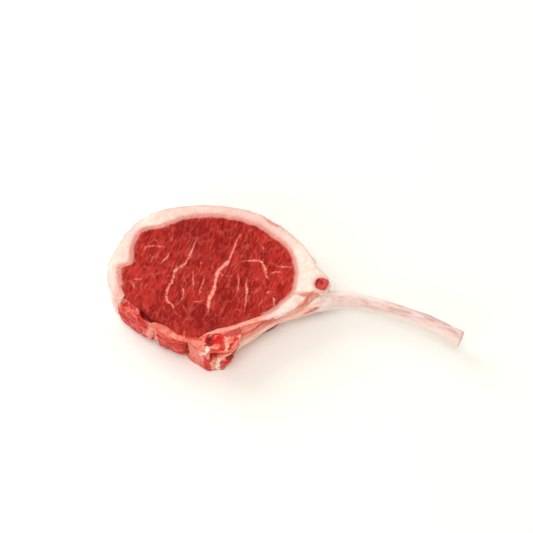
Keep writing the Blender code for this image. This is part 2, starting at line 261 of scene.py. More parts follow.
def bump(value, centre, reach):
    """1 at the centre, falling smoothly to 0 at the reach on both sides."""
    return 1 - step(np.abs(value - centre), 0, reach)


def smooth_curve(knots, closed, axes=2, finer=24):
    """Cubic curve through the knots. A knot's slope is the mean of its two chords' slopes, in which the
    nearer neighbour counts more. Only the first `axes` numbers are a place; the rest ride along."""
    knots = np.asarray(knots, float)
    before = np.roll(knots, 1, 0) if closed else np.vstack((2 * knots[0] - knots[1], knots[:-1]))
    after = np.roll(knots, -1, 0) if closed else np.vstack((knots[1:], 2 * knots[-1] - knots[-2]))
    gap_in = np.linalg.norm((knots - before)[:, :axes], axis=1)[:, None]
    gap_out = np.linalg.norm((after - knots)[:, :axes], axis=1)[:, None]
    slope = ((knots - before) / gap_in * gap_out + (after - knots) / gap_out * gap_in) / (gap_in + gap_out)
    pieces = len(knots) if closed else len(knots) - 1
    end, end_slope = np.roll(knots, -1, 0)[:pieces], np.roll(slope, -1, 0)[:pieces]
    start, start_slope, gap = knots[:pieces], slope[:pieces], gap_out[:pieces]
    t = np.linspace(0, 1, finer, endpoint=False)[:, None, None]
    curve = (
        (2 * t**3 - 3 * t**2 + 1) * start
        + (t**3 - 2 * t**2 + t) * gap * start_slope
        + (3 * t**2 - 2 * t**3) * end
        + (t**3 - t**2) * gap * end_slope
    )
    curve = curve.transpose(1, 0, 2).reshape(-1, knots.shape[1])
    return curve if closed else np.vstack((curve, knots[-1:]))


def even_steps(curve, count, closed, axes=2):
    """The curve again, in equal steps along its length."""
    path = np.vstack((curve, curve[:1])) if closed else curve
    reached = way_along(path[:, :axes])
    wanted = np.linspace(0, reached[-1], count, endpoint=not closed)
    return np.stack([np.interp(wanted, reached, column) for column in path.T], axis=1)


def unit(vectors):
    """The vectors, each made 1 long."""
    return vectors / np.linalg.norm(vectors, axis=-1)[..., None]


def way_along(places):
    """The way from the first place to each place of a line: the sum of the steps up to it."""
    return np.concatenate(([0.0], np.cumsum(np.linalg.norm(np.diff(places, axis=0), axis=1))))


def outward(loop):
    """Unit normals in plan of a closed clockwise loop: its direction turned a quarter to the left."""
    ahead = np.roll(loop, -1, 0) - np.roll(loop, 1, 0)
    return unit(np.stack((-ahead[:, 1], ahead[:, 0]), axis=1))


def left_of(line):
    """Unit directions to the left of an open line in plan."""
    ahead = np.gradient(line, axis=0)
    return unit(np.stack((-ahead[:, 1], ahead[:, 0]), axis=1))


def flat(points):
    """Plan points as points in space at level 0."""
    return np.concatenate((points[..., :2], np.zeros(points.shape[:-1] + (1,))), axis=-1)


def closed_outline(knots, count, wobble, seed):
    """A smooth loop through the knots whose edge wanders in and out by the wobble's noise layers."""
    loop = even_steps(smooth_curve(knots, True), count, True)
    return loop + layered(flat(loop), wobble, seed)[:, None] * outward(loop)


def line_distance(points, line, axes=2):
    """Distance from each point to a line whose rows are a place of so many axes and a value, and the value
    at the nearest place on the line."""
    nearest = np.full(points.shape[:-1], np.inf)
    value = np.zeros(points.shape[:-1])
    for start, end in zip(line[:-1], line[1:]):
        chord = end[:axes] - start[:axes]
        along = np.clip(((points[..., :axes] - start[:axes]) @ chord) / (chord @ chord), 0, 1)
        away = np.linalg.norm(points[..., :axes] - start[:axes] - along[..., None] * chord, axis=-1)
        closer = away < nearest
        nearest = np.where(closer, away, nearest)
        value = np.where(closer, start[axes] + along * (end[axes] - start[axes]), value)
    return nearest, value


def bent(points, layers, seed):
    """The points pushed about by noise, so that what is laid out on them has no true edge."""
    return points + np.stack([layered(points, layers, seed + 7 * axis) for axis in range(3)], axis=-1)


def felt(points, knots):
    """How strongly a line of (x, y, z, reach) is felt: 1 on the line, falling to 0 at its reach."""
    away, reach = line_distance(points, smooth_curve(knots, False, axes=3, finer=5), axes=3)
    return np.clip(1 - away / reach, 0, 1)


def mixed(paint, share, colour):
    """The paint with a share, from 0 to 1, of another colour over it."""
    return paint + np.clip(share, 0, 1)[..., None] * (np.asarray(colour) - paint)


def painted(paint, *coats):
    """The paint with coats over it in turn, each given by its share and its colour."""
    for share, colour in coats:
        paint = mixed(paint, share, colour)
    return paint


# ---------------- sheets to meshes


def grid_corners(rows, columns):
    """Row and column numbers of every face's corners, quads first: neighbouring rows are joined by quads,
    and row -1 and row `rows` stand for the two middle points that the fans meet in."""
    row, column = (a.ravel() for a in np.meshgrid(np.arange(rows - 1), np.arange(columns), indexing="ij"))
    rim = np.arange(columns)
    quad_rows = np.stack((row, row, row + 1, row + 1), axis=1)
    quad_columns = np.stack((column, column + 1, column + 1, column), axis=1)
    first, last = np.zeros_like(rim), np.full_like(rim, rows - 1)
    fan_rows = np.vstack((np.stack((first - 1, first, first), 1), np.stack((last + 1, last, last), 1)))
    fan_columns = np.vstack((np.stack((rim, rim + 1, rim), 1), np.stack((rim, rim, rim + 1), 1)))
    return (quad_rows, quad_columns), (fan_rows, fan_columns)


def signed_volume(places, triangles):
    """Six times the volume inside the triangles, below 0 if they face inwards."""
    a, b, c = (places[triangles[:, k]] for k in range(3))
    return np.sum(a * np.cross(b, c))


def strip_map(rows, columns, corner_rows, corner_columns, lanes):
    """Unrolls a long piece into lanes: along the piece is across the map, round it is up one lane."""
    share = (corner_rows + 1) / (rows + 1)
    lane = np.minimum(np.floor(share.min(axis=1) * lanes), lanes - 1)[:, None]
    u = share * lanes - lane
    v = (lane + 0.02 + 0.96 * corner_columns / columns) / lanes
    return np.stack((u / (1 + 1 / rows), v), axis=-1)


def slab_map(columns, corner_rows, corner_columns, plan, faces_end, underside_start):
    """Lays a slab's upper face, underside and side beside each other: the faces as seen in plan, the side
    unrolled below them."""
    span = np.ptp(plan.reshape(-1, 2), axis=0).max() * 1.02
    centred = (plan - plan.reshape(-1, 2).min(0)) / span
    upper = centred * 0.62 + (0.0, 0.38)
    under = centred * 0.36 + (0.64, 0.64)
    side_share = (corner_rows - faces_end) / (underside_start - faces_end)
    side = np.stack((corner_columns / columns, 0.01 + 0.34 * np.clip(side_share, 0, 1)), axis=-1)
    highest, lowest = corner_rows.max(axis=1)[:, None, None], corner_rows.min(axis=1)[:, None, None]
    return np.where(highest <= faces_end, upper, np.where(lowest >= underside_start, under, side))


def sheet_mesh(name, points, fields, lanes, faces):
    """The mesh of a closed sheet of rows x columns points in mm, turned to face outwards, with its fields
    as point attributes and a map of its surface."""
    rows, columns = points.shape[:2]
    quads, fans = grid_corners(rows, columns)
    ends = np.stack((points[0].mean(0), points[-1].mean(0)))
    places = np.vstack((points.reshape(-1, 3), ends)) * MM

    def numbers(corner_rows, corner_columns):
        """The vertex at each corner: row times columns plus column, and the two middle points last."""
        inner = np.clip(corner_rows, 0, rows - 1) * columns + corner_columns % columns
        middle = np.where(corner_rows < 0, rows * columns, rows * columns + 1)
        return np.where((corner_rows < 0) | (corner_rows >= rows), middle, inner)

    quad_corners, fan_corners = numbers(*quads), numbers(*fans)
    triangles = np.vstack((quad_corners[:, :3], quad_corners[:, (0, 2, 3)], fan_corners))
    if signed_volume(places - places.mean(0), triangles) < 0:
        quads = tuple(part[:, ::-1] for part in quads)
        fans = tuple(part[:, ::-1] for part in fans)
        quad_corners, fan_corners = quad_corners[:, ::-1], fan_corners[:, ::-1]
    sizes = np.concatenate((np.full(len(quad_corners), 4), np.full(len(fan_corners), 3)))
    loops = np.concatenate((quad_corners.ravel(), fan_corners.ravel()))

    mesh = bpy.data.meshes.new(name)
    mesh.vertices.add(len(places))
    mesh.vertices.foreach_set("co", places.astype(np.float32).ravel())
    mesh.loops.add(len(loops))
    mesh.loops.foreach_set("vertex_index", loops.astype(np.int32))
    mesh.polygons.add(len(sizes))
    mesh.polygons.foreach_set("loop_start", (np.cumsum(sizes) - sizes).astype(np.int32))
    mesh.polygons.foreach_set("use_smooth", np.ones(len(sizes), bool))

    charts = []
    for corner_rows, corner_columns in (quads, fans):
        if faces:
            plan = places[numbers(corner_rows, corner_columns)][..., :2]
            chart = slab_map(columns, corner_rows, corner_columns, plan, *faces)
        else:
            chart = strip_map(rows, columns, corner_rows, corner_columns, lanes)
        charts.append(chart.reshape(-1, 2))
    chart = mesh.uv_layers.new(name="OFBake")
    chart.uv.foreach_set("vector", np.vstack(charts).astype(np.float32).ravel())

    for label, field in fields.items():
        field = np.broadcast_to(field, points.shape[:2] + field.shape[2:])
        ends = np.stack((field[0].mean(0), field[-1].mean(0)))
        values = np.concatenate((field.reshape(rows * columns, -1), ends.reshape(2, -1)))
        vector = values.shape[1] == 3
        attribute = mesh.attributes.new(label, "FLOAT_VECTOR" if vector else "FLOAT", "POINT")
        attribute.data.foreach_set("vector" if vector else "value", values.astype(np.float32).ravel())
    mesh.update(calc_edges=True)
    if mesh.validate():
        raise RuntimeError(f"{name}: its mesh had faults")
    return mesh


def make_piece(name, points, material, stands_for=(), fields=None, lanes=1, faces=None):
    """Puts a sheet into the scene as a piece of the chop."""
    piece = bpy.data.objects.new(name, sheet_mesh(name, points, fields or {}, lanes, faces))
    piece.data.materials.append(material)
    bpy.context.scene.collection.objects.link(piece)
    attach(piece, "root")
    if stands_for:
        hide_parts(*stands_for)
    return piece


# ---------------- shapes


def sheet_normals(points):
    """Unit normals of a sheet, across its rows' and its columns' directions, pointing out of it."""
    along = np.gradient(points, axis=0)
    around = np.roll(points, -1, 1) - np.roll(points, 1, 1)
    normal = np.cross(along, around)
    normal /= np.linalg.norm(normal, axis=-1)[..., None] + 1e-9
    centred = points - points.mean((0, 1))
    size = np.linalg.norm(np.cross(along, around), axis=-1)
    return normal * np.sign(np.sum(np.sum(normal * centred, axis=-1) * size))


def roughen(points, layers, seed, weight=1.0):
    """Moves a sheet in and out along its normals by layers of noise."""
    lift = layered(points, layers, seed) * weight
    return points + lift[..., None] * sheet_normals(points)


def slab(outline, centre, low, high, edge, upper_gap, side_gap, under_gap, rim_steps=5):
    """A flat piece as rings: from the middle of the upper face outwards, a quarter circle round the rim,
    down the side, round the lower rim and back to the middle of the underside. Returns the rings, each
    ring's share of the way from the centre, and the rows that part the faces from the side."""
    centre = np.asarray(centre, float)
    reach = np.linalg.norm(outline - centre, axis=1).mean()
    upper = np.linspace(0, 1, int(reach / upper_gap) + 1)[1:]
    under = np.linspace(1, 0, int(reach / under_gap) + 1)[1:-1]
    turn = np.linspace(0, pi / 2, rim_steps + 1)[1:]
    side = np.linspace(high - edge, low + edge, int((high - low - 2 * edge) / side_gap) + 1)[1:]
    runs = (
        (upper, edge, high),
        (1, edge * (1 - np.sin(turn)), high - edge * (1 - np.cos(turn))),
        (1, 0, side),
        (1, edge * (1 - np.cos(turn)), low + edge * (1 - np.sin(turn))),
        (under, edge, low),
    )
    share, inset, height = np.concatenate([np.stack(np.broadcast_arrays(*run)) for run in runs], axis=1)
    drawn_in = outline - inset[:, None, None] * outward(outline)
    plan = centre + share[:, None, None] * (drawn_in - centre)
    points = np.concatenate((plan, np.broadcast_to(height[:, None, None], plan.shape[:2] + (1,))), axis=2)
    faces = (len(upper) + rim_steps // 2, len(upper) + len(turn) + len(side) + rim_steps // 2)
    return points, share[:, None], faces


def superellipse(columns, square):
    """A closed section |x|^n + |y|^n = 1 in even turns: sine and cosine raised to 2 / n, signs kept."""
    angle = np.linspace(0, 2 * pi, columns, endpoint=False)
    return [np.sign(wave) * np.abs(wave) ** (2 / square) for wave in (np.cos(angle), np.sin(angle))]


def strand(line, rows, columns, square=2.4, ends=(1.0, 1.0)):
    """A long soft piece: a superellipse of power `square` carried along a smooth line of
    (x, y, z, width, height). Its width lies across the line and level, its height stands on both. Towards
    each end it shrinks along a quarter circle. Returns the points, and for each the way along the line,
    across it and up it."""
    path = even_steps(smooth_curve(line, False, axes=3), rows, False, axes=3)
    place, width, height = path[:, :3], path[:, 3], path[:, 4]
    ahead = unit(np.gradient(place, axis=0))
    side = unit(np.cross(ahead, (0.0, 0.0, 1.0)))
    rise = np.cross(side, ahead)
    along = way_along(place)
    shrink = np.ones(rows)
    for gone, end in ((along, ends[0]), (along[-1] - along, ends[1])):
        if end > 0:
            left = np.clip(1 - gone / end, 0, 1)
            shrink *= np.sqrt(np.clip(1 - left**2, 0.0004, 1))
    across, upward = superellipse(columns, square)
    out = (width * shrink / 2)[:, None] * across
    above = (height * shrink / 2)[:, None] * upward
    points = place[:, None] + out[..., None] * side[:, None] + above[..., None] * rise[:, None]
    grain = np.stack((np.broadcast_to(along[:, None], out.shape), out, above), axis=-1)
    return points, grain


def rib_path(count):
    """Places along the middle of the rib, with its size, the outward direction and the way along."""
    path = even_steps(smooth_curve(RIB_LINE, False), count, False)
    return path, -left_of(path[:, :2]), way_along(path[:, :2])


def beside_rib(*stations):
    """A strand's line given by stations along the rib: mm from the backbone's end, mm out from its middle,
    level, width, height."""
    path, out, along = rib_path(count=400)
    stations = np.asarray(stations, float)
    place = np.stack([np.interp(stations[:, 0], along, path[:, k]) for k in range(2)], axis=1)
    away = np.stack([np.interp(stations[:, 0], along, out[:, k]) for k in range(2)], axis=1)
    return np.column_stack((place + away * stations[:, 1:2], stations[:, 2:]))


def tuck(points, start=2.7, start_level=5.9, end=-2.6, end_level=-1.5):
    """Under the rib the chop's side leans in: what lies further out from the rib's middle than a sloping
    line allows, at each level, is moved back to it."""
    path, out, _ = rib_path(count=300)
    away = points[..., None, :2] - path[:, :2]
    nearest = np.argmin(np.sum(away**2, axis=-1), axis=-1)
    normal = out[nearest]
    outside = np.sum((points[..., :2] - path[nearest, :2]) * normal, axis=-1)
    slope = (start - end) / (start_level - end_level)
    limit = end + slope * (points[..., 2] - end_level)
    beside = (nearest > 2) & (nearest < len(path) - 3) & (points[..., 2] < start_level)
    excess = np.where(beside & (outside < start + 6), np.clip(outside - limit, 0, None), 0)
    return points - np.concatenate((excess[..., None] * normal, np.zeros_like(excess)[..., None]), axis=-1)


# ---------------- muscle


def cut_level(points):
    """How far the cut face stands above or below its mean: long low waves that every tissue shares, so
    that neighbours meet flush."""
    return layered(flat(points), ((19.0, 0.26), (7.5, 0.12)), 31)


def bundles(points, length, width, angle, seed):
    """Muscle bundles cut across: cells round scattered centres, longer along the grain. Returns how deep
    inside its cell a point lies, 0 on a boundary, and the cell's own random tone, blended at its edges."""
    warped = bent(flat(points), ((5.0, 0.9), (2.0, 0.35)), seed)
    along = (warped[..., 0] * cos(angle) + warped[..., 1] * sin(angle)) / length
    across = (warped[..., 1] * cos(angle) - warped[..., 0] * sin(angle)) / width
    place = np.stack((along, across), axis=-1)
    base = np.floor(place)
    nearest = np.full(place.shape[:-1], np.inf)
    second = np.full(place.shape[:-1], np.inf)
    tone, weight = 0.0, 0.0
    for side in product((-1, 0, 1), repeat=2):
        cell = base + side
        centre = cell + 0.5 + 0.85 * (np.stack((hashed(cell, seed), hashed(cell, seed + 1)), -1) - 0.5)
        away = np.linalg.norm(place - centre, axis=-1)
        second = np.minimum(second, np.maximum(nearest, away))
        nearest = np.minimum(nearest, away)
        pull = np.exp(-14 * away)
        tone = tone + pull * hashed(cell, seed + 2)
        weight = weight + pull
    return second - nearest, tone / weight


def marbled(points, lines, seed):
    """How far inside a line of fat each point lies, in mm, below 0 outside: half width less distance."""
    place = bent(flat(points), ((4.0, 0.45), (1.3, 0.30)), seed)
    inside = np.full(points.shape[:-1], FAR_OUTSIDE)
    for knots in lines:
        away, half_width = line_distance(place, smooth_curve(knots, False, finer=6))
        inside = np.maximum(inside, half_width - away)
    return inside


def flecks(points, gap, length, half_width, angle, chance, seed):
    """Short strokes of fat strewn about. Each square of a lattice may hold one, at its own place, turned
    and sized its own way. Returns how far inside the nearest stroke a point lies, in mm."""
    place = bent(flat(points), ((3.0, 0.4), (1.0, 0.15)), seed)[..., :2]
    base = np.floor(place / gap)
    inside = np.full(place.shape[:-1], FAR_OUTSIDE)
    for side in product((-1, 0, 1), repeat=2):
        cell = base + side
        draw = [hashed(cell, seed + 3 * k) for k in range(6)]
        away = place - (cell + 0.1 + 0.8 * np.stack(draw[:2], axis=-1)) * gap
        turn = angle + (draw[2] - 0.5) * 1.1
        along = away[..., 0] * np.cos(turn) + away[..., 1] * np.sin(turn)
        across = away[..., 1] * np.cos(turn) - away[..., 0] * np.sin(turn)
        reach = length * (0.3 + 0.7 * draw[3]) / 2
        beyond = np.hypot(np.clip(np.abs(along) - reach, 0, None), across)
        taper = np.clip(1 - (along / reach) ** 2, 0, 1)
        here = half_width * (0.4 + draw[4]) * taper - beyond
        inside = np.maximum(inside, np.where(draw[5] < chance, here, FAR_OUTSIDE))
    return inside


def eye_outline(count):
    """The eye's edge, wandering a little where muscle and fat grip each other."""
    return closed_outline(EYE_OUTLINE, count, wobble=((7.0, 0.35), (3.0, 0.22), (1.2, 0.10)), seed=3)


def make_eye(sizes, colours):
    """The big round muscle, cut across its fibres: bundles, lines and flecks of fat, a slightly sunken
    rim. It is a little paler towards its two ends than above and below its middle."""
    outline = eye_outline(count=440)
    points, share, faces = slab(
        outline, EYE_CENTRE, LOW, TOP, edge=0.6, upper_gap=0.28, side_gap=0.85, under_gap=0.55
    )
    x, y, z = np.moveaxis(points, -1, 0)
    ground = flat(points)
    depth, tone = bundles(points, sizes.bundle_length / MM, sizes.bundle_width / MM, GRAIN, 11)
    patches = step(layered(ground, ((11.0, 0.8), (4.5, 0.5)), 27), -0.25, 0.45)
    strewn = flecks(points, gap=3.4, length=3.0, half_width=0.22, angle=GRAIN, chance=0.40, seed=25)
    fat_in = np.maximum(marbled(points, MARBLING, 21), strewn - 0.40 * (1 - patches))
    inside = (1 - share) * np.linalg.norm(outline - EYE_CENTRE, axis=1)
    small = layered(ground, ((2.6, 0.5), (1.0, 0.35)), 37)
    fine = 0.08 * (tone - 0.5) - 0.06 * (1 - step(depth, 0.0, 0.2)) + 0.06 * step(fat_in, -0.3, 0.2)
    fine = fine + layered(ground, ((2.2, 0.05), (1.1, 0.03)), 35)
    relief = cut_level(points) + fine * sizes.muscle_relief / MM / 0.3 - 0.16 * (1 - step(inside, 0.0, 1.4))
    upper = step(z, MIDDLE, TOP - 1.0)
    under = 1 - step(z, LOW + 1.0, MIDDLE)
    ends = step(np.abs(x - EYE_CENTRE[0]) - 0.25 * np.abs(y), 6, 26)
    broad = 0.5 * ends + layered(ground, ((16.0, 0.30), (6.0, 0.30), (2.6, 0.24)), 51)
    dull = np.maximum(felt(ground, EYE_DULL[0]), felt(ground, EYE_DULL[1]))
    groove = felt(ground, EYE_GROOVE)
    bared = 1 - step(line_distance(ground, np.asarray(EYE_BARED_EDGE))[0], 2.5, 5.0)
    points[..., 2] += upper * relief + under * np.clip(0.14 - relief, 0, None)
    points = roughen(points, ((4.0, 0.30), (1.5, 0.10)), 41, (1 - upper) * (1 - under))
    fields = {
        "cover": 0.6 * (1 - bared) * (1 - step(inside + 0.5 * small, 0.0, 0.9)) * upper,
        # Along the groove the tone drops far: painted shade where the eye meets the side strips.
        "tone": np.clip(0.24 + 0.26 * tone + 0.36 * broad - 0.16 * dull, 0, 1) - 0.9 * groove,
        "marbling": fat_in - 0.22 * dull,
    }
    material = cut_muscle("eye_muscle", colours.eye_dark, colours.eye_light, colours.fat_stain, colours)
    make_piece("eye_of_meat", points, material, ("eye_muscle",), fields, faces=faces)


# ---------------- fat


def fat_rows(count):
    """Pairs of places across the fat: its outer edge in equal steps, and the eye's edge near each. The
    eye's place follows the nearest one, never turns back, and is evened out over a few millimetres."""
    edge = even_steps(smooth_curve(FAT_EDGE, False), count, False)
    edge = edge + layered(flat(edge), ((9.0, 0.35), (3.5, 0.14)), 61)[:, None] * left_of(edge)
    fine = 4000
    eye = eye_outline(fine)
    around = np.argmin(np.sum((edge[:, None] - eye) ** 2, axis=-1), axis=1).astype(float)
    around = np.unwrap(around, period=fine)
    around = np.maximum.accumulate(around)
    reach = 12
    before, after = np.full(reach, around[0]), np.full(reach, around[-1])
    for _ in range(3):
        padded = np.concatenate((before, around, after))
        around = np.convolve(padded, np.full(2 * reach + 1, 1 / (2 * reach + 1)), "same")[reach:-reach]
    turns = np.arange(-fine, 2 * fine)
    inner = np.stack([np.interp(around, turns, np.tile(eye[:, k], 3)) for k in range(2)], axis=1)
    return inner, edge


def fat_section(top_steps=22, rim_steps=5, side_steps=20, under_steps=10, inner_steps=8):
    """The fat's section as columns: over the top from the eye outwards, round the rim, down the skin
    side, round, back under, and up against the eye. Each column says its share of the width, its inset in
    units of the inner and outer rim, its share of the height and its drop in units of the rim."""
    around = np.linspace(0, pi / 2, rim_steps + 1)[1:]
    last = around[:-1]
    top = np.linspace(0, 1, top_steps)
    side = np.linspace(1, 0, side_steps)[1:]
    under = np.linspace(1, 0, under_steps)[1:]
    inner = np.linspace(0, 1, inner_steps)[1:]
    runs = (
        (top, 1 - top, -top, 1, 0),
        (1, 0, np.sin(around) - 1, 1, np.cos(around) - 1),
        (1, 0, 0, side, 1 - 2 * side),
        (1, 0, np.cos(around) - 1, 0, 1 - np.sin(around)),
        (under, 1 - under, -under, 0, 0),
        (0, 1 - np.sin(around), 0, 0, 1 - np.cos(around)),
        (0, 0, 0, inner, 1 - 2 * inner),
        (0, 1 - np.cos(last), 0, 1, np.sin(last) - 1),
    )
    return np.concatenate([np.stack(np.broadcast_arrays(*run)) for run in runs], axis=1)


def make_fat(sizes, colours):
    """The fat round the eye, one strip with its section carried along: a crowned cut face, an uneven
    bulging skin side of soft lobes, and a thin seam between the eye and the rib. It is stained beside the
    muscle, blushed in patches, and pink round the small corner muscle."""
    inner, edge = fat_rows(count=520)
    run = edge - inner
    width = np.linalg.norm(run, axis=1)
    run = run / width[:, None]
    along = way_along(edge)
    overlap = np.interp(along, (along[-1] - 36, along[-1] - 16), (0.6, 0.2))
    inner = inner - overlap[:, None] * run
    width = width + overlap
    taper = np.sqrt(np.clip(1 - np.clip(1 - along / 1.6, 0, 1) ** 2, 0.02, 1))
    taper = taper * np.clip((along[-1] - along) / 7.0, 0.02, 1) ** 0.6
    width = width * taper
    seam = 1 - step(width, 2.8, 5.0)
    across, inset_in, inset_out, height, drop = fat_section()
    rim_out = (np.minimum(0.9, 0.3 * width) * (1 - 0.5 * seam))[:, None]
    rim_in = np.minimum(0.35, 0.2 * width)[:, None]
    rim = np.where(across > 0.5, rim_out, rim_in)
    out = across * width[:, None] + inset_in * rim_in + inset_out * rim_out
    level = LOW + height * THICKNESS + drop * rim
    middling = np.clip(1 - ((level - MIDDLE) / (THICKNESS / 2)) ** 2, 0, 1)
    flank = step(along, 127, 133)[:, None]
    out = out + step(across, 0.9, 1.0) * middling * sizes.fat_bulge / MM * (1 - seam)[:, None] * (1 - flank)
    out = out * (1 - 0.6 * flank * (1 - step(level, TOP - 4.5, TOP - 1.8)))
    plan = inner[:, None] + out[..., None] * run[:, None]
    points = np.concatenate((plan, level[..., None]), axis=-1)
    on_top = step(level, TOP - 1.5, TOP - 0.4)
    under = 1 - step(level, LOW + 0.4, LOW + 1.5)
    crown = np.clip(4 * across * (1 - across), 0, 1) * (1 - 0.9 * seam)[:, None]
    relief = cut_level(points) + sizes.fat_crown / MM * (crown - 0.35) - 0.06 * seam[:, None]
    uneven = layered(flat(points), ((6.0, 0.16), (2.4, 0.10), (1.1, 0.05)), 71)
    from_corner = np.linalg.norm(points[..., :2] - CORNER_MEAT_CENTRE, axis=-1)
    relief = relief + uneven * (1 - 0.5 * seam)[:, None] - 0.9 * (1 - step(from_corner, 1.7, 2.8))
    points[..., 2] += on_top * relief + under * np.clip(0.14 - 0.6 * relief, 0, None)
    skin_side = (1 - on_top) * (1 - under) * step(across, 0.6, 1.0)
    unrolled = np.stack(np.broadcast_arrays(along[:, None], level), -1)
    lobe_depth, lobe_tone = bundles(unrolled, length=6.5, width=3.2, angle=0.15, seed=77)
    points = roughen(points, ((10.0, 0.55), (3.2, 0.22), (1.3, 0.08)), 81, (1 - on_top) * (1 - under))
    swell = 0.45 * step(lobe_depth, 0.0, 0.35) + 0.35 * (lobe_tone - 0.5) - 0.25
    points = points + (skin_side * swell)[..., None] * sheet_normals(points)
    points = tuck(points)

    blotch = layered(points, ((6.0, 0.5), (2.0, 0.4)), 301)
    small = layered(points, ((2.4, 0.5), (0.9, 0.35)), 305)
    from_muscle = out - overlap[:, None]
    row = along[:, None]
    stations = (4, 12, 26, 34, 40, 46, 52, 80, 90, 98, 105, 129, 139)
    warmth = np.interp(row, stations, (0.6, 0.4, 0.5, 1.2, 0.3, 0.2, 0.85, 0.9, 1.3, 0.8, 0.15, 0.1, 0.5))
    paint = mixed(np.broadcast_to(colours.fat_light, points.shape), warmth + 0.7 * blotch, colours.fat_warm)
    blush = step(layered(points, ((9.0, 0.7), (3.0, 0.3)), 309), 0.0, 0.5)
    paint = mixed(paint, (0.25 + 0.3 * warmth) * blush, colours.fat_pink)
    stations = (3, 8, 18, 26, 46, 52, 96, 108, 125, 137)
    reach = np.interp(row, stations, (5.0, 2.6, 3.0, 1.3, 1.1, 2.0, 2.6, 1.3, 1.2, 1.4))
    rim = np.interp(row, (10, 15, 20, 25), (0.9, 1.8, 1.8, 0.9))
    paint = painted(
        paint,
        (0.85 * (1 - step(from_muscle, 0.1, reach * (1 + 0.5 * small))), colours.fat_stain),
        (0.75 * (1 - step(from_muscle, 0.0, rim * (1 + 0.5 * small))), colours.muscle_rim),
        (0.7 * (1 - step(row, 2.5, 7.0)) * on_top, colours.fat_stain),
    )
    near_backbone = step(along, along[-1] - 31, along[-1] - 20)[:, None]
    paint = painted(
        paint,
        (near_backbone * (0.85 + 0.3 * small), colours.gristle_pink),
        (near_backbone * np.clip(0.45 + 1.1 * small, 0, 0.9), colours.chine),
    )
    to_edge = width[:, None] - out
    upper_band = step(along, 44, 52) * (1 - step(along, 96, 106))
    rim_stain = (0.30 + 0.45 * upper_band[:, None]) * (1 - step(to_edge + 0.6 * small, 0.1, 1.2))
    paint = mixed(paint, on_top * (1 - flank) * rim_stain, colours.fat_stain)
    bruise = bump(along, 91, 6)[:, None] * (1 - step(to_edge + 1.2 * small, 0.4, 2.6))
    paint = mixed(paint, 0.8 * on_top * step(bruise, 0.15, 0.6), colours.muscle_rim)
    fold = bent(points, ((2.0, 0.25),), 313)
    paint = mixed(paint, on_top * felt(fold * (1.0, 1.0, 0.0), FAT_FOLD), colours.fat_fold)
    scrap = felt(fold * (1.0, 1.0, 0.0), FAT_FOLD_SCRAP)
    paint = painted(
        paint,
        (0.9 * step(scrap + 0.3 * small, 0.15, 0.5), colours.muscle_rim),
        (skin_side * 0.7 * (1 - step(lobe_depth, 0.02, 0.22)), colours.fat_pink),
        (skin_side * 0.5 * step(blotch + small, 0.1, 0.7), colours.fat_stain),
        (on_top * 0.8 * (1 - step(from_corner + small, 2.4, 4.6)), colours.fat_stain),
    )
    fields = {"paint": paint}
    make_piece("fat_layer", points, soft_fat("fat", colours), ("fat_cap",), fields, lanes=2)


# ---------------- small muscles beside the fat and the rib


def make_corner_meat(colours):
    """The small dark muscle at the fat's corner, standing a little proud of the cut, its side in fat."""
    outline = closed_outline(CORNER_MEAT_OUTLINE, 160, wobble=((3.0, 0.30), (1.2, 0.15)), seed=91)
    points, _, faces = slab(
        outline, CORNER_MEAT_CENTRE, LOW, TOP, edge=0.8, upper_gap=0.14, side_gap=0.30, under_gap=0.3
    )
    depth, tone = bundles(points, length=1.8, width=1.1, angle=radians(40), seed=95)
    points = roughen(points, ((4.0, 0.35), (1.3, 0.15), (0.6, 0.04)), 93)
    level = points[..., 2] + 0.5 * layered(points, ((2.0, 0.7), (0.8, 0.3)), 97)
    points[..., 2] += step(points[..., 2], TOP - 2.0, TOP - 0.5) * (cut_level(points) + 0.22)
    points[..., 2] = np.clip(points[..., 2], LOW, None)
    fields = {
        "cover": 1 - step(level, TOP - 1.5, TOP - 0.4),
        "tone": np.clip(0.2 + 0.6 * tone, 0, 1),
        "marbling": np.full(depth.shape, -3.0),
    }
    reds = colours.corner_dark, colours.corner_light
    material = cut_muscle("corner_meat", *reds, colours.fat_warm, colours)
    make_piece("corner_meat", points, material, ("cap_muscle",), fields, faces=faces)


def fibres(points, grain, dark, light, seed):
    """Paint of meat whose fibres run along the grain: long streaks from dark to light."""
    tone = layered(grain * (0.16, 1.0, 1.0), ((1.6, 0.5), (0.7, 0.4)), seed)
    tone = tone + layered(points, ((5.0, 0.35),), seed + 3)
    return mixed(np.broadcast_to(dark, points.shape), step(tone, -0.45, 0.5), light)


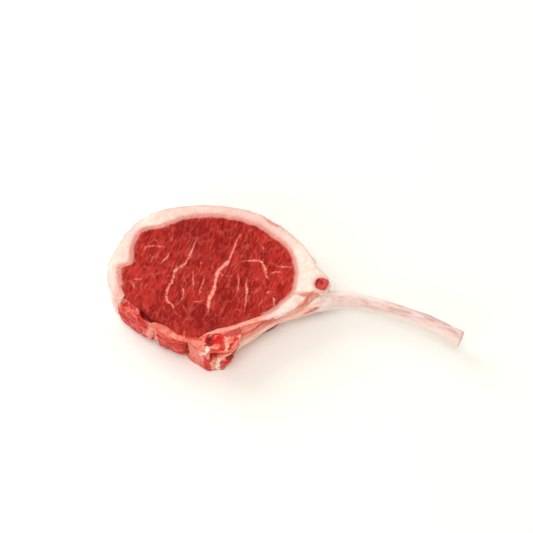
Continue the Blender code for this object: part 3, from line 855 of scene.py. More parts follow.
def make_rib_meat(colours):
    """Meat from between the ribs: a strip above this rib, rosy by the backbone and salmon further out,
    whose far end thins to a thread beside the fat, and scraps below the rib."""
    upper = beside_rib(
        (0.6, 0.1, 13.3, 4.6, 6.6), (8.0, 0.8, 13.4, 4.6, 6.6), (14.5, 1.3, 13.4, 4.4, 6.4),
        (22.0, 1.3, 13.3, 4.4, 6.4), (28.5, 0.9, 13.5, 4.4, 5.9), (32.5, -0.1, 13.8, 3.8, 5.0),
        (36.5, -1.2, 14.0, 2.4, 4.2), (40.6, -2.0, 13.7, 1.2, 3.0),
    )
    points, grain = strand(upper, rows=320, columns=80, square=4.0, ends=(1.5, 2.5))
    points = roughen(points, ((6.0, 0.22), (2.2, 0.26), (0.9, 0.10)), 101)
    points[..., 2] += step(points[..., 2], 14.5, 16.5) * (cut_level(points) - 0.12)
    way, side, rise = np.moveaxis(grain, -1, 0)
    wander = layered(points, ((3.0, 0.6), (1.1, 0.3)), 103)
    strands = layered(grain * (0.14, 1.0, 1.0), ((1.5, 0.7), (0.7, 0.35)), 107)
    paint = fibres(points, grain, colours.rib_dark, colours.rib_light, 105)
    paint = painted(
        paint,
        (0.75 * step(way + 5 * wander + 4 * strands, 15, 27), colours.flank_salmon),
        (0.8 * step(strands, 0.10, 0.5) * step(way, 8, 22), colours.flank_cream),
        (0.7 * step(-strands, 0.12, 0.5) * step(way, 4, 12), colours.rib_dark),
    )
    scraps = layered(grain * (0.5, 1.0, 1.0), ((1.9, 0.8), (0.8, 0.5)), 109)
    paint = painted(
        paint,
        (0.75 * step(scraps, 0.05, 0.5) * step(way, 20, 29), colours.flank_cream),
        (0.8 * step(-scraps, 0.20, 0.6) * step(way, 24, 32), colours.rib_dark),
    )
    lower_edge = step(side + 0.8 * wander, 0.9, 1.9) * (1 - step(rise + wander, -2.6, -0.8))
    paint = mixed(paint, 0.85 * lower_edge, colours.flank_cream)
    fields = {"paint": paint, "grain": grain * MM}
    material = long_muscle("rib_meat_above", colours)
    make_piece("rib_meat_above", points, material, ("rib_meat_upper",), fields, lanes=2)

    lower = beside_rib(
        (13.0, -2.0, 3.4, 2.2, 6.0), (20.0, -1.9, 3.3, 3.0, 6.2), (28.0, -1.7, 3.4, 3.4, 6.2),
        (35.0, -1.4, 3.4, 3.4, 6.0), (40.5, -1.2, 3.4, 2.2, 5.2),
    )
    points, grain = strand(lower, rows=200, columns=64, square=3.0, ends=(1.5, 2.0))
    points = tuck(points, start=2.9)
    points = roughen(points, ((5.0, 0.35), (2.0, 0.30), (0.9, 0.10)), 111)
    points[..., 2] = np.clip(points[..., 2], LOW, None)
    paint = fibres(points, grain, colours.hollow, colours.rib_light, 115)
    blotch = layered(points, ((2.2, 0.8), (0.9, 0.4)), 117)
    paint = mixed(paint, 0.5 * step(blotch, 0.0, 0.8), colours.flank_cream)
    fields = {"paint": paint, "grain": grain * MM}
    material = long_muscle("rib_meat_below", colours)
    make_piece("rib_meat_below", points, material, ("rib_meat_lower",), fields, lanes=2)


# ---------------- rib


def make_rib(colours):
    """The rib: a flattened tube along its line, a little ridged and uneven, skinned with a pale membrane
    where it leaves the meat, and sawn off square at the tip."""
    rows, columns = 420, 72
    path, out, along = rib_path(rows)
    across, upward = superellipse(columns, square=2.3)
    size = path[:, 2]
    wide = (RIB_WIDTH / 2 * size)[:, None] * across
    high = (RIB_HEIGHT / 2 * size)[:, None] * upward
    grain = np.stack((np.broadcast_to(along[:, None], wide.shape), wide, high), axis=-1)
    plan = path[:, None, :2] + wide[..., None] * out[:, None]
    points = np.concatenate((plan, (RIB_LEVEL + high)[..., None]), axis=-1)
    ridge = grain * (0.16, 1.0, 1.0)
    lift = layered(ridge, ((2.6, 0.22), (1.1, 0.10)), 121) + layered(points, ((7.0, 0.28), (2.4, 0.09)), 125)
    torn = 38 + 6 * noise(flat(points), 3.0, 127)
    skin = (1 - step(along[:, None], torn - 2, torn + 3)) * (0.85 + 0.3 * noise(points, 4.0, 129))
    points = points + (lift + 0.35 * np.clip(skin, 0, 1))[..., None] * sheet_normals(points)
    tip = points[-1]
    middle = tip.mean(0)
    ahead = unit(np.append(np.gradient(path[:, :2], axis=0)[-1], 0))
    shares, bulge = np.array(TIP_RINGS).T
    cap = middle + shares[:, None, None] * (tip - middle) + bulge[:, None, None] * ahead
    cap = cap + (0.08 * noise(cap, 0.8, 131))[..., None] * ahead
    butt = points[0].mean(0) + np.array((0.8, 0.5, 0.2))[:, None, None] * (points[0] - points[0].mean(0))
    butt = butt[::-1]
    points = np.concatenate((butt, points, cap))
    grain = np.concatenate((np.repeat(grain[:1], 3, 0), grain, np.repeat(grain[-1:], len(shares), 0)))
    sawn = np.zeros(points.shape[:2])
    sawn[-len(shares):] = (1 - step(shares, 0.72, 0.92))[:, None]
    way, side, rise = np.moveaxis(grain, -1, 0)
    turn = np.degrees(np.arctan2(rise / RIB_HEIGHT, side / RIB_WIDTH))
    wander = 10 * noise(grain * (0.25, 1.0, 1.0), 2.2, 133)
    patchy = layered(grain * (0.45, 1.0, 1.0), ((4.0, 0.9), (1.6, 0.5)), 135)
    streak_turn = np.interp(way, (44, 60, 68, 75, 90), (58, 64, 66, 92, 88))
    cream_turn = np.interp(way, (44, 61, 68, 76, 90), (9, 19, 38, 46, 54))
    blood = bump(turn + wander, streak_turn, 34) * step(way, 40, 46) * np.clip(0.75 + 1.3 * patchy, 0, 1)
    blood = np.maximum(blood, 0.6 * bump(turn + wander, streak_turn - 26, 16) * step(way, 48, 58))
    grey = bump(turn + 0.6 * wander, 122, 34) * step(way, 61, 69) * (0.85 + 0.5 * patchy)
    pale = (1 - step(turn + wander, cream_turn - 16, cream_turn + 5)) * step(turn, -178, -120)
    crest = step(turn + wander, 84, 104) * (1 - step(turn, 130, 175)) * (1 - step(way, 58, 66))
    pale = np.maximum(pale, 0.8 * crest) * (1 - 0.35 * step(way, 60, 84))
    membrane = np.zeros(points.shape[:2])
    membrane[3:-len(shares)] = np.clip(skin, 0, 1)
    reds = layered(grain * (0.35, 1.0, 1.0), ((1.7, 0.8), (0.8, 0.4)), 137)
    scraps = step(reds, 0.05, 0.4) * bump(turn, 12, 34) * bump(way, 32.5, 10)
    spots = bump(way, 35.6, 2.0) * bump(turn, 22, 15) + bump(way, 32.8, 4.4) * bump(turn, 6, 14)
    scraps = np.maximum(scraps, step(spots + 0.3 * reds, 0.20, 0.6))
    salmon = bump(turn + 1.5 * wander, 30, 30) * step(way, 10, 22)
    salmon = salmon * (1 - 0.9 * step(way + 4 * patchy, 29, 37))
    cream = step(turn + 1.5 * wander, 50, 66) * step(way, 24, 34)
    paint = painted(
        np.broadcast_to(colours.flank_cream, points.shape),
        (0.9 * salmon, colours.flank_salmon),
        (0.9 * cream, colours.membrane),
        (0.5 * step(patchy, 0.1, 0.6), colours.flank_salmon),
        (0.8 * step(way + 3 * patchy, 29, 38), colours.bone_cream),
        (0.9 * scraps, colours.rib_dark),
    )
    fields = {
        "grain": grain * MM, "blood": blood, "grey": np.clip(grey, 0, 1), "pale": pale, "membrane": membrane,
        "sawn": sawn, "paint": paint,
    }
    make_piece("rib", points, rib_finish("bone", colours), ("rib_bone",), fields, lanes=2)


# ---------------- backbone


def make_backbone(colours):
    """The sawn piece of backbone, one block of bone with everything that shows on it: red marrow and a
    cream line on its cut face, and on its side a hollow between two red lobes, ridges of gristle and a
    diagonal of white cartilage. Each feature swells or sinks the surface by the square of 1 - (d / r)^2,
    and lays on its colour with an edge that noise has bent."""
    outline = closed_outline(BACKBONE_OUTLINE, 380, wobble=((5.0, 0.30), (2.0, 0.18)), seed=141)
    points, _, faces = slab(
        outline, BACKBONE_CENTRE, LOW, TOP - 0.3, edge=0.7, upper_gap=0.18, side_gap=0.19, under_gap=0.4
    )
    lean = 0.42 * step(points[..., 0], -23.5, -18.6) * np.clip(8.5 - points[..., 2], 0, None)
    points = points + np.stack((-0.6 * lean, 0.8 * lean, 0 * lean), axis=-1)
    z = points[..., 2]
    place = bent(points, ((1.9, 0.45), (0.8, 0.32)), 143)
    small = layered(points, ((1.6, 0.5), (0.7, 0.4)), 149)
    broad = layered(points, ((3.4, 0.8), (1.4, 0.4)), 147)
    lift = layered(points, ((4.0, 0.30), (1.6, 0.20), (0.7, 0.07)), 145)
    gritty = layered(points, ((1.1, 0.7), (0.5, 0.4)), 153)
    paint = painted(
        np.broadcast_to(colours.chine, points.shape),
        (0.5 * step(small, -0.1, 0.7), colours.gristle_pink),
        (0.6 * step(broad, 0.15, 0.7), colours.chine_red),
        (0.45 * step(gritty, 0.15, 0.7), colours.gristle_pink),
    )
    for line, amount, colour in BACKBONE_FEATURES:
        near = felt(place, line)
        lift = lift + amount * (1 - (1 - near) ** 2) ** 2
        paint = mixed(paint, step(near + 0.30 * small, 0.08, 0.48), getattr(colours, colour))
    paint = mixed(paint, 0.55 * step(-gritty, 0.10, 0.6), colours.chine_red)
    top = step(z, TOP - 1.2, TOP - 0.5)
    under = 1 - step(z, LOW + 0.3, LOW + 1.5)
    points = points + (lift * (1 - under) * (1 - 0.7 * top))[..., None] * sheet_normals(points)
    points[..., 2] += top * cut_level(points)
    points[..., 2] = np.clip(points[..., 2], LOW, None)
    material = chine_finish("chine", colours)
    make_piece("chine", points, material, ("backbone",), {"paint": paint}, faces=faces)


# ---------------- side meat and membranes


def make_side_meat(colours):
    """Two soft strips of wet meat on the side where the backbone was sawn away, each a bundle of swollen
    fibre lumps parted by creases painted deeper red as shade, with pale skin where they meet, pale skin and
    a painted highlight on their upper parts, and a groove along the eye painted dark as shade."""
    middle, tall = (LOW + SIDE_MEAT_TOP) / 2, SIDE_MEAT_TOP - LOW
    strips = (
        ("side_lump_left", "side_meat_upper",
         ((-61.0, -6.6, middle, 3.8, tall - 1.6), (-58.2, -9.1, middle, 6.0, tall),
          (-54.6, -11.2, middle, 6.6, tall), (-51.4, -14.0, middle, 6.8, tall - 0.2),
          (-48.9, -16.2, middle, 6.0, tall - 0.8), (-46.6, -17.8, middle - 0.4, 4.4, tall - 1.6))),
        ("side_lump_right", "side_meat_lower",
         ((-48.0, -17.6, middle - 0.4, 4.2, tall - 1.6), (-45.0, -18.7, middle, 5.6, tall - 0.4),
          (-41.0, -20.1, middle, 6.0, tall), (-37.6, -21.7, middle, 5.4, tall - 0.2),
          (-35.0, -23.0, middle, 3.4, tall - 1.0))),
    )
    for number, (name, node, line) in enumerate(strips):
        seed = 211 + 40 * number
        points, grain = strand(line, rows=230, columns=128, square=3.0, ends=(2.2, 2.0))
        arc = np.linspace(0, 2 * (line[2][3] + line[2][4]), points.shape[1])
        unrolled = np.stack(np.broadcast_arrays(grain[..., 0], arc), axis=-1)
        depth, tone = bundles(unrolled, length=5.6, width=2.9, angle=0.12, seed=seed)
        points = roughen(points, ((6.0, 0.70), (2.6, 0.28), (1.0, 0.06)), seed + 1)
        swell = 0.50 * step(depth, 0.0, 0.45) + 0.25 * (tone - 0.5) - 0.32
        points = points + swell[..., None] * sheet_normals(points)
        points[..., 2] = np.clip(points[..., 2], LOW, None)
        way, level = grain[..., 0], points[..., 2]
        groove = felt(points * (1.0, 1.0, 0.0), EYE_GROOVE) * step(level, 9.0, 12.0)
        points[..., 2] -= 1.3 * groove
        small = layered(points, ((1.8, 0.5), (0.8, 0.35)), seed + 5)
        broad = layered(points, ((3.6, 0.8), (1.3, 0.4)), seed + 9)
        paint = fibres(points, grain, colours.side_dark, colours.side_light, seed + 7)
        paint = painted(
            paint,
            # Painted shade: deeper red in the creases between the lumps.
            (0.45 * (1 - step(depth + 0.1 * small, 0.02, 0.25)), colours.knuckle),
            # Pale skin and a painted highlight, more of it towards the top of the strip.
            (0.6 * step(broad + 0.06 * (level - 10), 0.30, 0.75), colours.skin_and_highlight),
        )
        if number == 0:
            seam = bump(way, 16.2, 2.4) + 0.5 * small
            crown = step(level + small, 11.5, 13.5)
            inner_end = 1 - step(way, 9.0, 12.0)
            paint = painted(
                paint,
                # Pale skin and a painted highlight on the crown of the inner end.
                (0.7 * crown * step(small + broad, -0.1, 0.5) * inner_end, colours.skin_and_highlight),
                (0.85 * crown * (1 - step(way + small, 1.0, 4.0)), colours.fat_stain),
            )
        else:
            seam = bump(way, 1.4, 2.2) + 0.5 * small
            paint = painted(
                paint,
                (0.65 * step(level + 1.6 * small + 0.8 * broad, 11.6, 13.4), colours.chine),
                (0.8 * bump(way, 13.6, 1.6), colours.hollow),
            )
        paint = painted(
            paint,
            (0.8 * step(seam, 0.45, 0.9), colours.gristle_pink),
            # Painted shade: dark red down in the groove along the eye.
            (step(groove + 0.15 * small, 0.10, 0.5), colours.hollow),
        )
        fields = {"paint": paint, "grain": grain * MM}
        make_piece(name, points, long_muscle(name, colours), (node,), fields, lanes=2)


def make_membranes(colours):
    """A thin salmon skin lying along the eye's edge over the second strip of meat, thicker and thinner,
    with paler flecks."""
    line = ((-48.9, -17.2, 14.9, 0.9, 0.5), (-47.4, -17.9, 15.2, 2.2, 0.9), (-44.8, -19.4, 15.4, 3.2, 1.1),
            (-41.4, -21.2, 15.5, 3.2, 1.1), (-38.4, -23.2, 15.8, 2.4, 1.0), (-35.6, -24.2, 16.1, 2.0, 0.9),
            (-33.0, -24.9, 16.2, 1.2, 0.5))
    points, grain = strand(line, rows=200, columns=48, square=2.4, ends=(1.4, 1.4))
    points = roughen(points, ((3.0, 0.32), (1.2, 0.14), (0.5, 0.04)), 251)
    small = layered(points, ((2.0, 0.6), (0.8, 0.4)), 255)
    west = 1 - step(points[..., 0] + 3 * small, -45.0, -40.0)
    paint = painted(
        np.broadcast_to(colours.chine, points.shape),
        (0.8 * step(small, 0.0, 0.6), colours.gristle_pink),
        (0.5 * step(small, 0.42, 0.7), colours.cartilage),
        (0.6 * west, colours.fascia_red),
        (0.8 * step(-small, 0.05, 0.5), colours.side_light),
        (0.7 * step(0.6 * small - grain[..., 1], 0.3, 1.3), colours.fascia_red),
    )
    make_piece("fascia_edge", points, gristle("fascia_edge", colours), (), {"paint": paint})


# ---------------- finishes


# How deep light goes into wet tissue, in metres, its colours in there, and how rough the wet film is.
LIGHT_DEPTH = 0.0016
RED_LIGHT = (1.0, 0.20, 0.10)
WARM_LIGHT = (1.0, 0.60, 0.45)
WET_ROUGHNESS = 0.22


class Finish:
    """A material's nodes, added one by one round its Principled shader."""

    def __init__(self, name, subsurface, radius, roughness, coat, specular):
        self.material = bpy.data.materials.new(name)
        self.material.use_nodes = True
        self.nodes = self.material.node_tree.nodes
        self.links = self.material.node_tree.links
        self.shader = self.nodes["Principled BSDF"]
        self.feed(self.shader, {
            "Subsurface Weight": subsurface, "Subsurface Radius": radius, "Subsurface Scale": LIGHT_DEPTH,
            "Roughness": roughness, "Coat Weight": coat, "Coat Roughness": WET_ROUGHNESS,
            "Specular IOR Level": specular,
        })
        self.where = self.output("ShaderNodeTexCoord", "Object")

    def feed(self, node, values):
        """Links outputs to a node's sockets and sets its other sockets to plain values."""
        for socket, value in values.items():
            if isinstance(value, bpy.types.NodeSocket):
                self.links.new(value, node.inputs[socket])
            else:
                node.inputs[socket].default_value = value

    def output(self, kind, output, values=None, **settings):
        """One of the outputs of a new node with these inputs and settings."""
        made = self.nodes.new(kind)
        for name, setting in settings.items():
            setattr(made, name, setting)
        self.feed(made, values or {})
        return made.outputs[output]

    def field(self, name, output="Fac"):
        """One of the piece's own fields."""
        return self.output("ShaderNodeAttribute", output, attribute_name=name)

    def placed(self, stretch, turn, where):
        """Places drawn out `stretch` times along axes turned about Z."""
        values = {"Vector": where or self.where, "Rotation": (0.0, 0.0, turn), "Scale": stretch}
        return self.output("ShaderNodeMapping", "Vector", values, vector_type="TEXTURE")

    def grains(self, size, detail=3.0, stretch=(1.0, 1.0, 1.0), turn=0.0, where=None, warp=0.0):
        """Noise from 0 to 1 with features about `size` mm across, longer along an axis if stretched."""
        place = self.placed(stretch, turn, where)
        values = {"Vector": place, "Scale": 1 / (size * MM), "Detail": detail, "Distortion": warp}
        return self.output("ShaderNodeTexNoise", "Fac", values)

    def moved(self, operation, values):
        """Places worked out from others."""
        return self.output("ShaderNodeVectorMath", "Vector", values, operation=operation)

    def cells(self, size, stretch=(1.0, 1.0, 1.0), turn=0.0, push=0.3):
        """Distance to the nearest wall between cells about `size` mm across, in cell widths; noise pushes
        the places about by a share of the size, so that no wall is straight."""
        scale = 1 / (size * MM)
        stir = self.output("ShaderNodeTexNoise", "Color", {"Vector": self.where, "Scale": scale})
        centred = self.moved("SUBTRACT", {0: stir, 1: (0.5, 0.5, 0.5)})
        scaled = self.moved("SCALE", {0: centred, "Scale": 2 * push * size * MM})
        place = self.placed(stretch, turn, self.moved("ADD", {0: self.where, 1: scaled}))
        values = {"Vector": place, "Scale": scale}
        return self.output("ShaderNodeTexVoronoi", "Distance", values, feature="DISTANCE_TO_EDGE")

    def rise(self, value, start, end, low=0.0, high=1.0):
        """Low below start, high above end, and a smooth rise between them."""
        values = {"Value": value, "From Min": start, "From Max": end, "To Min": low, "To Max": high}
        return self.output("ShaderNodeMapRange", "Result", values, interpolation_type="SMOOTHSTEP")

    def sum(self, first, second, kind="ADD"):
        """Two numbers added, or joined in another kind of sum."""
        return self.output("ShaderNodeMath", "Value", {0: first, 1: second}, operation=kind)

    def times(self, first, second):
        """Two numbers multiplied."""
        return self.sum(first, second, "MULTIPLY")

    def blend(self, share, first, second, kind="MIX"):
        """The first colour where share is 0, and where it is 1 the second, or their product."""
        values = {0: share, 6: first, 7: second}
        for socket in (6, 7):
            if not isinstance(values[socket], bpy.types.NodeSocket):
                values[socket] = (*values[socket], 1.0)
        return self.output("ShaderNodeMix", 2, values, data_type="RGBA", blend_type=kind)

    def coated(self, colour, *coats):
        """The colour with coats over it in turn, each given by its share and its colour."""
        for share, coat in coats:
            colour = self.blend(share, colour, coat)
        return colour

    def weighed(self, *parts):
        """The sum of two numbers, each given with its weight."""
        return self.sum(*(self.times(number, weight) for number, weight in parts))

    def paint_with_painted_shade(self, grain, start, end, share, shade):
        """The piece's own paint with painted shade in its relief's low places: multiplied by the shade up to
        a share as the grain falls to the end.
        """
        low = self.rise(grain, start, end, 0.0, share)
        return self.blend(low, self.field("paint", "Color"), shade, "MULTIPLY")

    def done(self, colour, roughness, height, depth):
        """Colour, roughness and a relief of the given depth in mm go into the shader."""
        values = {"Strength": 1.0, "Distance": depth * MM, "Height": height}
        normal = self.output("ShaderNodeBump", "Normal", values)
        self.feed(self.shader, {"Base Color": colour, "Roughness": roughness, "Normal": normal})
        return self.material


def cut_muscle(name, dark, light, cover, colours):
    """Muscle cut across its fibres: a fine streaky grain of reds, thin broken paler lines between the
    bundles, flecks and lines of fat, and a wet surface."""
    made = Finish(name, subsurface=0.12, radius=RED_LIGHT, roughness=0.42, coat=0.08, specular=0.12)
    streaks = made.grains(0.8, 3.0, stretch=(3.2, 1.0, 1.5), turn=GRAIN, warp=0.5)
    fine = made.grains(0.5, 2.0)
    mottle = made.grains(3.0, 3.0, stretch=(1.6, 1.0, 1.0), turn=GRAIN, warp=0.5)
    tone = made.sum(made.field("tone"), made.rise(streaks, 0.28, 0.72, -0.28, 0.28))
    tone = made.sum(tone, made.rise(fine, 0.3, 0.7, -0.08, 0.08))
    tone = made.sum(tone, made.rise(mottle, 0.3, 0.7, -0.34, 0.34))
    colour = made.blend(made.rise(tone, -0.05, 1.0), dark, light)
    walls = made.rise(made.cells(2.6, stretch=(2.6, 1.0, 1.2), turn=GRAIN), 0.12, 0.0)
    walls = made.times(walls, made.rise(made.grains(3.4, 3.0), 0.42, 0.66, 0.0, 0.42))
    colour = made.blend(walls, colour, colours.muscle_line)
    fleck = made.grains(0.9, 2.0, stretch=(3.2, 1.0, 1.0), turn=GRAIN, warp=0.8)
    strewn = made.rise(made.grains(6.0, 2.0), 0.40, 0.62, 0.30, 1.0)
    fleck = made.times(made.rise(fleck, 0.53, 0.75, 0.0, 0.75), strewn)
    colour = made.blend(fleck, colour, colours.muscle_line)
    ragged = made.weighed((made.grains(0.7, 2.0), 0.55), (made.grains(2.0, 2.0), 0.55))
    inside = made.sum(made.field("marbling"), made.sum(ragged, 0.55, "SUBTRACT"))
    broken = made.rise(made.grains(1.5, 2.0), 0.34, 0.52, 0.35, 1.0)
    vein = made.times(made.rise(inside, -0.26, 0.30), broken)
    fat = made.blend(made.rise(inside, 0.0, 0.48), colours.muscle_line, colours.marbling)
    colour = made.coated(
        colour,
        (vein, fat),
        (made.field("cover"), cover),
    )
    rough = made.rise(mottle, 0.25, 0.75, 0.30, 0.50)
    height = made.weighed((streaks, 0.6), (fine, 0.4))
    return made.done(colour, rough, height, 0.09)


def long_muscle(name, colours):
    """Muscle whose fibres run along the piece, over its own paint: fine streaks with painted shade in their
    grooves and pale skin with a painted highlight on their ridges, and a wet surface.
    """
    made = Finish(name, subsurface=0.12, radius=RED_LIGHT, roughness=0.32, coat=0.14, specular=0.16)
    grain = made.field("grain", "Vector")
    streaks = made.grains(0.7, 3.0, stretch=(4.0, 1.0, 1.0), where=grain, warp=0.3)
    fine = made.grains(0.5, 2.0)
    # Painted shade: the paint darkens where the streaks, and so the relief, are low.
    colour = made.paint_with_painted_shade(streaks, 0.60, 0.34, 0.40, colours.painted_shade_red)
    # Pale skin and a painted highlight on the raised streaks.
    colour = made.blend(made.rise(streaks, 0.56, 0.74, 0.0, 0.35), colour, colours.skin_and_highlight)
    rough = made.rise(made.grains(3.0), 0.3, 0.7, 0.22, 0.42)
    height = made.weighed((streaks, 0.7), (fine, 0.3))
    return made.done(colour, rough, height, 0.10)


def soft_fat(name, colours):
    """Firm fat over its own paint, with painted shade in the low places of its relief: fine lobules with
    faint pink creases between them, waxy.
    """
    made = Finish(name, subsurface=0.22, radius=WARM_LIGHT, roughness=0.46, coat=0.08, specular=0.25)
    lobules = made.cells(1.7, stretch=(1.5, 1.0, 1.0), turn=0.4, push=0.45)
    fine = made.grains(0.8)
    broad = made.grains(3.0, 3.0, warp=0.5)
    # Painted shade: the paint darkens where the fine relief is low.
    colour = made.paint_with_painted_shade(fine, 0.56, 0.36, 0.55, colours.painted_shade_cream)
    crease = made.times(made.rise(lobules, 0.14, 0.0), made.rise(broad, 0.40, 0.60, 0.0, 0.45))
    colour = made.blend(crease, colour, colours.fat_pink)
    rough = made.rise(fine, 0.3, 0.7, 0.38, 0.54)
    height = made.weighed((made.rise(lobules, 0.0, 0.22), 0.5), (fine, 0.5))
    return made.done(colour, rough, height, 0.12)


def rib_finish(name, colours):
    """Scraped bone: pinkish ivory with broken streaks of dried blood and grey, a cream lower side, a cream
    skin near the meat with painted shade in the grooves of its streaks, and a spongy heart in the sawn tip."""
    made = Finish(name, subsurface=0.10, radius=WARM_LIGHT, roughness=0.46, coat=0.08, specular=0.25)
    grain = made.field("grain", "Vector")
    streaks = made.grains(0.8, 4.0, stretch=(5.0, 1.0, 1.0), where=grain, warp=0.3)
    hairs = made.grains(0.35, 3.0, stretch=(7.0, 1.0, 1.0), where=grain)
    broad = made.grains(4.0, 3.0, stretch=(2.5, 1.0, 1.0), where=grain)
    colour = made.blend(made.rise(streaks, 0.34, 0.60), colours.bone_pink, colours.bone)
    colour = made.blend(made.rise(broad, 0.50, 0.72, 0.0, 0.4), colour, colours.bone_pink)
    stain = made.sum(made.field("blood"), made.rise(streaks, 0.3, 0.7, -0.50, 0.30))
    colour = made.blend(made.rise(stain, 0.15, 0.85, 0.0, 0.85), colour, colours.bone_blood)
    mauve = made.sum(made.field("grey"), made.rise(hairs, 0.3, 0.7, -0.40, 0.30))
    colour = made.blend(made.rise(mauve, 0.20, 0.80, 0.0, 0.80), colour, colours.bone_grey)
    dried = made.times(made.rise(hairs, 0.60, 0.74, 0.0, 0.7), made.rise(broad, 0.44, 0.60))
    colour = made.blend(dried, colour, colours.bone_grey)
    lower = made.sum(made.field("pale"), made.rise(streaks, 0.3, 0.7, -0.15, 0.15))
    colour = made.blend(made.rise(lower, 0.1, 0.9, 0.0, 0.9), colour, colours.bone_cream)
    skin = made.sum(made.field("membrane"), made.rise(broad, 0.3, 0.7, -0.30, 0.30))
    # Painted shade in the skin's low streaks.
    over = made.paint_with_painted_shade(streaks, 0.50, 0.34, 0.35, colours.painted_shade_red)
    colour = made.blend(made.rise(skin, 0.30, 0.75, 0.0, 1.0), colour, over)
    heart = made.blend(made.rise(made.grains(0.6, 2.0), 0.42, 0.62), colours.bone_blood, colours.bone_pink)
    colour = made.blend(made.times(made.field("sawn"), 0.8), colour, heart)
    rough = made.rise(broad, 0.3, 0.7, 0.38, 0.56)
    height = made.weighed((streaks, 0.6), (hairs, 0.4))
    return made.done(colour, rough, height, 0.14)


def chine_finish(name, colours):
    """The sawn backbone over its own paint: gritty where the saw went, with painted shade in its pores, and
    wet.
    """
    made = Finish(name, subsurface=0.06, radius=RED_LIGHT, roughness=0.40, coat=0.06, specular=0.16)
    fine = made.grains(0.5, 3.0)
    pores = made.grains(0.9, 2.0, warp=0.6)
    # Painted shade: the paint darkens in the pores, where the relief is low.
    colour = made.paint_with_painted_shade(pores, 0.44, 0.28, 0.8, colours.painted_shade_red)
    colour = made.blend(made.rise(fine, 0.56, 0.74, 0.0, 0.07), colour, colours.gristle_pink)
    rough = made.rise(pores, 0.3, 0.7, 0.30, 0.50)
    return made.done(colour, rough, made.weighed((pores, 0.5), (fine, 0.5)), 0.18)


def gristle(name, colours):
    """White and cream gristle and skin over its own paint, with painted shade in the low places of its
    relief, smooth and wet.
    """
    made = Finish(name, subsurface=0.16, radius=WARM_LIGHT, roughness=0.32, coat=0.14, specular=0.2)
    fine = made.grains(0.8, 3.0)
    # Painted shade: the paint darkens where the relief is low.
    colour = made.paint_with_painted_shade(fine, 0.48, 0.30, 0.6, colours.painted_shade_red)
    return made.done(colour, made.rise(fine, 0.3, 0.7, 0.26, 0.42), fine, 0.12)


# ---------------- stage


def aimed_light(name, place, size, power, colour, target):
    """A soft square lamp turned to the chop."""
    light = bpy.data.lights.new(name, "AREA")
    light.shape = "SQUARE"
    light.size = size
    light.energy = power
    light.color = colour
    lamp = bpy.data.objects.new(name, light)
    lamp.location = place
    lamp.rotation_euler = (Vector(target) - Vector(place)).to_track_quat("-Z", "Y").to_euler()
    bpy.context.scene.collection.objects.link(lamp)


# The floor lies this far under the chop, so that the two surfaces never coincide.
FLOOR_GAP = 0.00005

# The lamps: name, place, side of the square, colour and the setting that holds the power.
LAMPS = (
    ("key", (-0.80, 0.70, 0.84), 0.90, (0.98, 0.99, 1.0), "key_power"),
    ("overhead", (-0.10, -0.25, 1.20), 0.60, (0.97, 0.99, 1.0), "overhead_power"),
    ("fill", (-0.70, -0.70, 0.60), 0.60, (0.98, 0.99, 1.0), "fill_power"),
)


def make_floor(stage):
    """A near-white floor that turns up into a low wall all round: a profile of (radius, height), level, a
    quarter circle and upright, turned round Z, with a fan over its middle."""
    columns = 96
    turn = np.linspace(0, pi / 2, 13)
    bend = stage.floor_bend
    level = stage.floor_radius
    radius = np.concatenate(([0.2, 0.6], level + bend * np.sin(turn), [level + bend]))
    height = np.concatenate(([0.0, 0.0], bend * (1 - np.cos(turn)), [stage.wall_height]))
    around = np.linspace(0, 2 * pi, columns, endpoint=False)
    radius, height = radius[:, None], height[:, None]
    rings = np.stack((radius * np.cos(around), radius * np.sin(around), height + 0 * around), axis=-1)
    places = np.vstack((rings.reshape(-1, 3), np.zeros((1, 3)))) + (0.0, 0.0, CAD_BOX[0][2] - FLOOR_GAP)
    row, column = np.meshgrid(np.arange(len(radius) - 1), np.arange(columns), indexing="ij")
    ahead = (column + 1) % columns
    quads = np.stack((row * columns + column, (row + 1) * columns + column,
                      (row + 1) * columns + ahead, row * columns + ahead), axis=-1).reshape(-1, 4)
    rim = np.arange(columns)
    fan = np.stack((np.full(columns, len(places) - 1), rim, (rim + 1) % columns), axis=1)
    mesh = bpy.data.meshes.new("floor")
    mesh.from_pydata(places.tolist(), [], quads.tolist() + fan.tolist())
    mesh.polygons.foreach_set("use_smooth", np.ones(len(mesh.polygons), bool))
    floor = bpy.data.objects.new("floor", mesh)
    bpy.context.scene.collection.objects.link(floor)
    paper = bpy.data.materials.new("floor")
    paper.use_nodes = True
    shader = paper.node_tree.nodes["Principled BSDF"]
    shader.inputs["Base Color"].default_value = (*stage.floor_colour, 1.0)
    shader.inputs["Roughness"].default_value = 0.9
    shader.inputs["Specular IOR Level"].default_value = 0.1
    mesh.materials.append(paper)


def make_stage(stage):
    """The floor, soft light from the upper left, and the camera."""
    scene = bpy.context.scene
    make_floor(stage)
    target = (0.0, 0.0, MIDDLE * MM)
    for name, place, size, tint, setting in LAMPS:
        aimed_light(name, place, size, getattr(stage, setting), tint, target)

    world = bpy.data.worlds.new("studio")
    world.use_nodes = True
    background = world.node_tree.nodes["Background"]
    background.inputs["Color"].default_value = (*stage.room_colour, 1.0)
    background.inputs["Strength"].default_value = stage.room_light
    scene.world = world
    scene.view_settings.view_transform = "Standard"

    data = bpy.data.cameras.new("camera")
    data.lens = stage.lens
    data.sensor_width = 36.0
    data.clip_start = 0.01
    data.clip_end = 10.0
    camera = bpy.data.objects.new("camera", data)
    aim = Vector(stage.aim)
    back = Vector((0.0, -cos(stage.elevation), sin(stage.elevation)))
    camera.location = aim + back * stage.distance
    camera.rotation_euler = (pi / 2 - stage.elevation, 0.0, 0.0)
    scene.collection.objects.link(camera)
    scene.camera = camera


# ---------------- settings


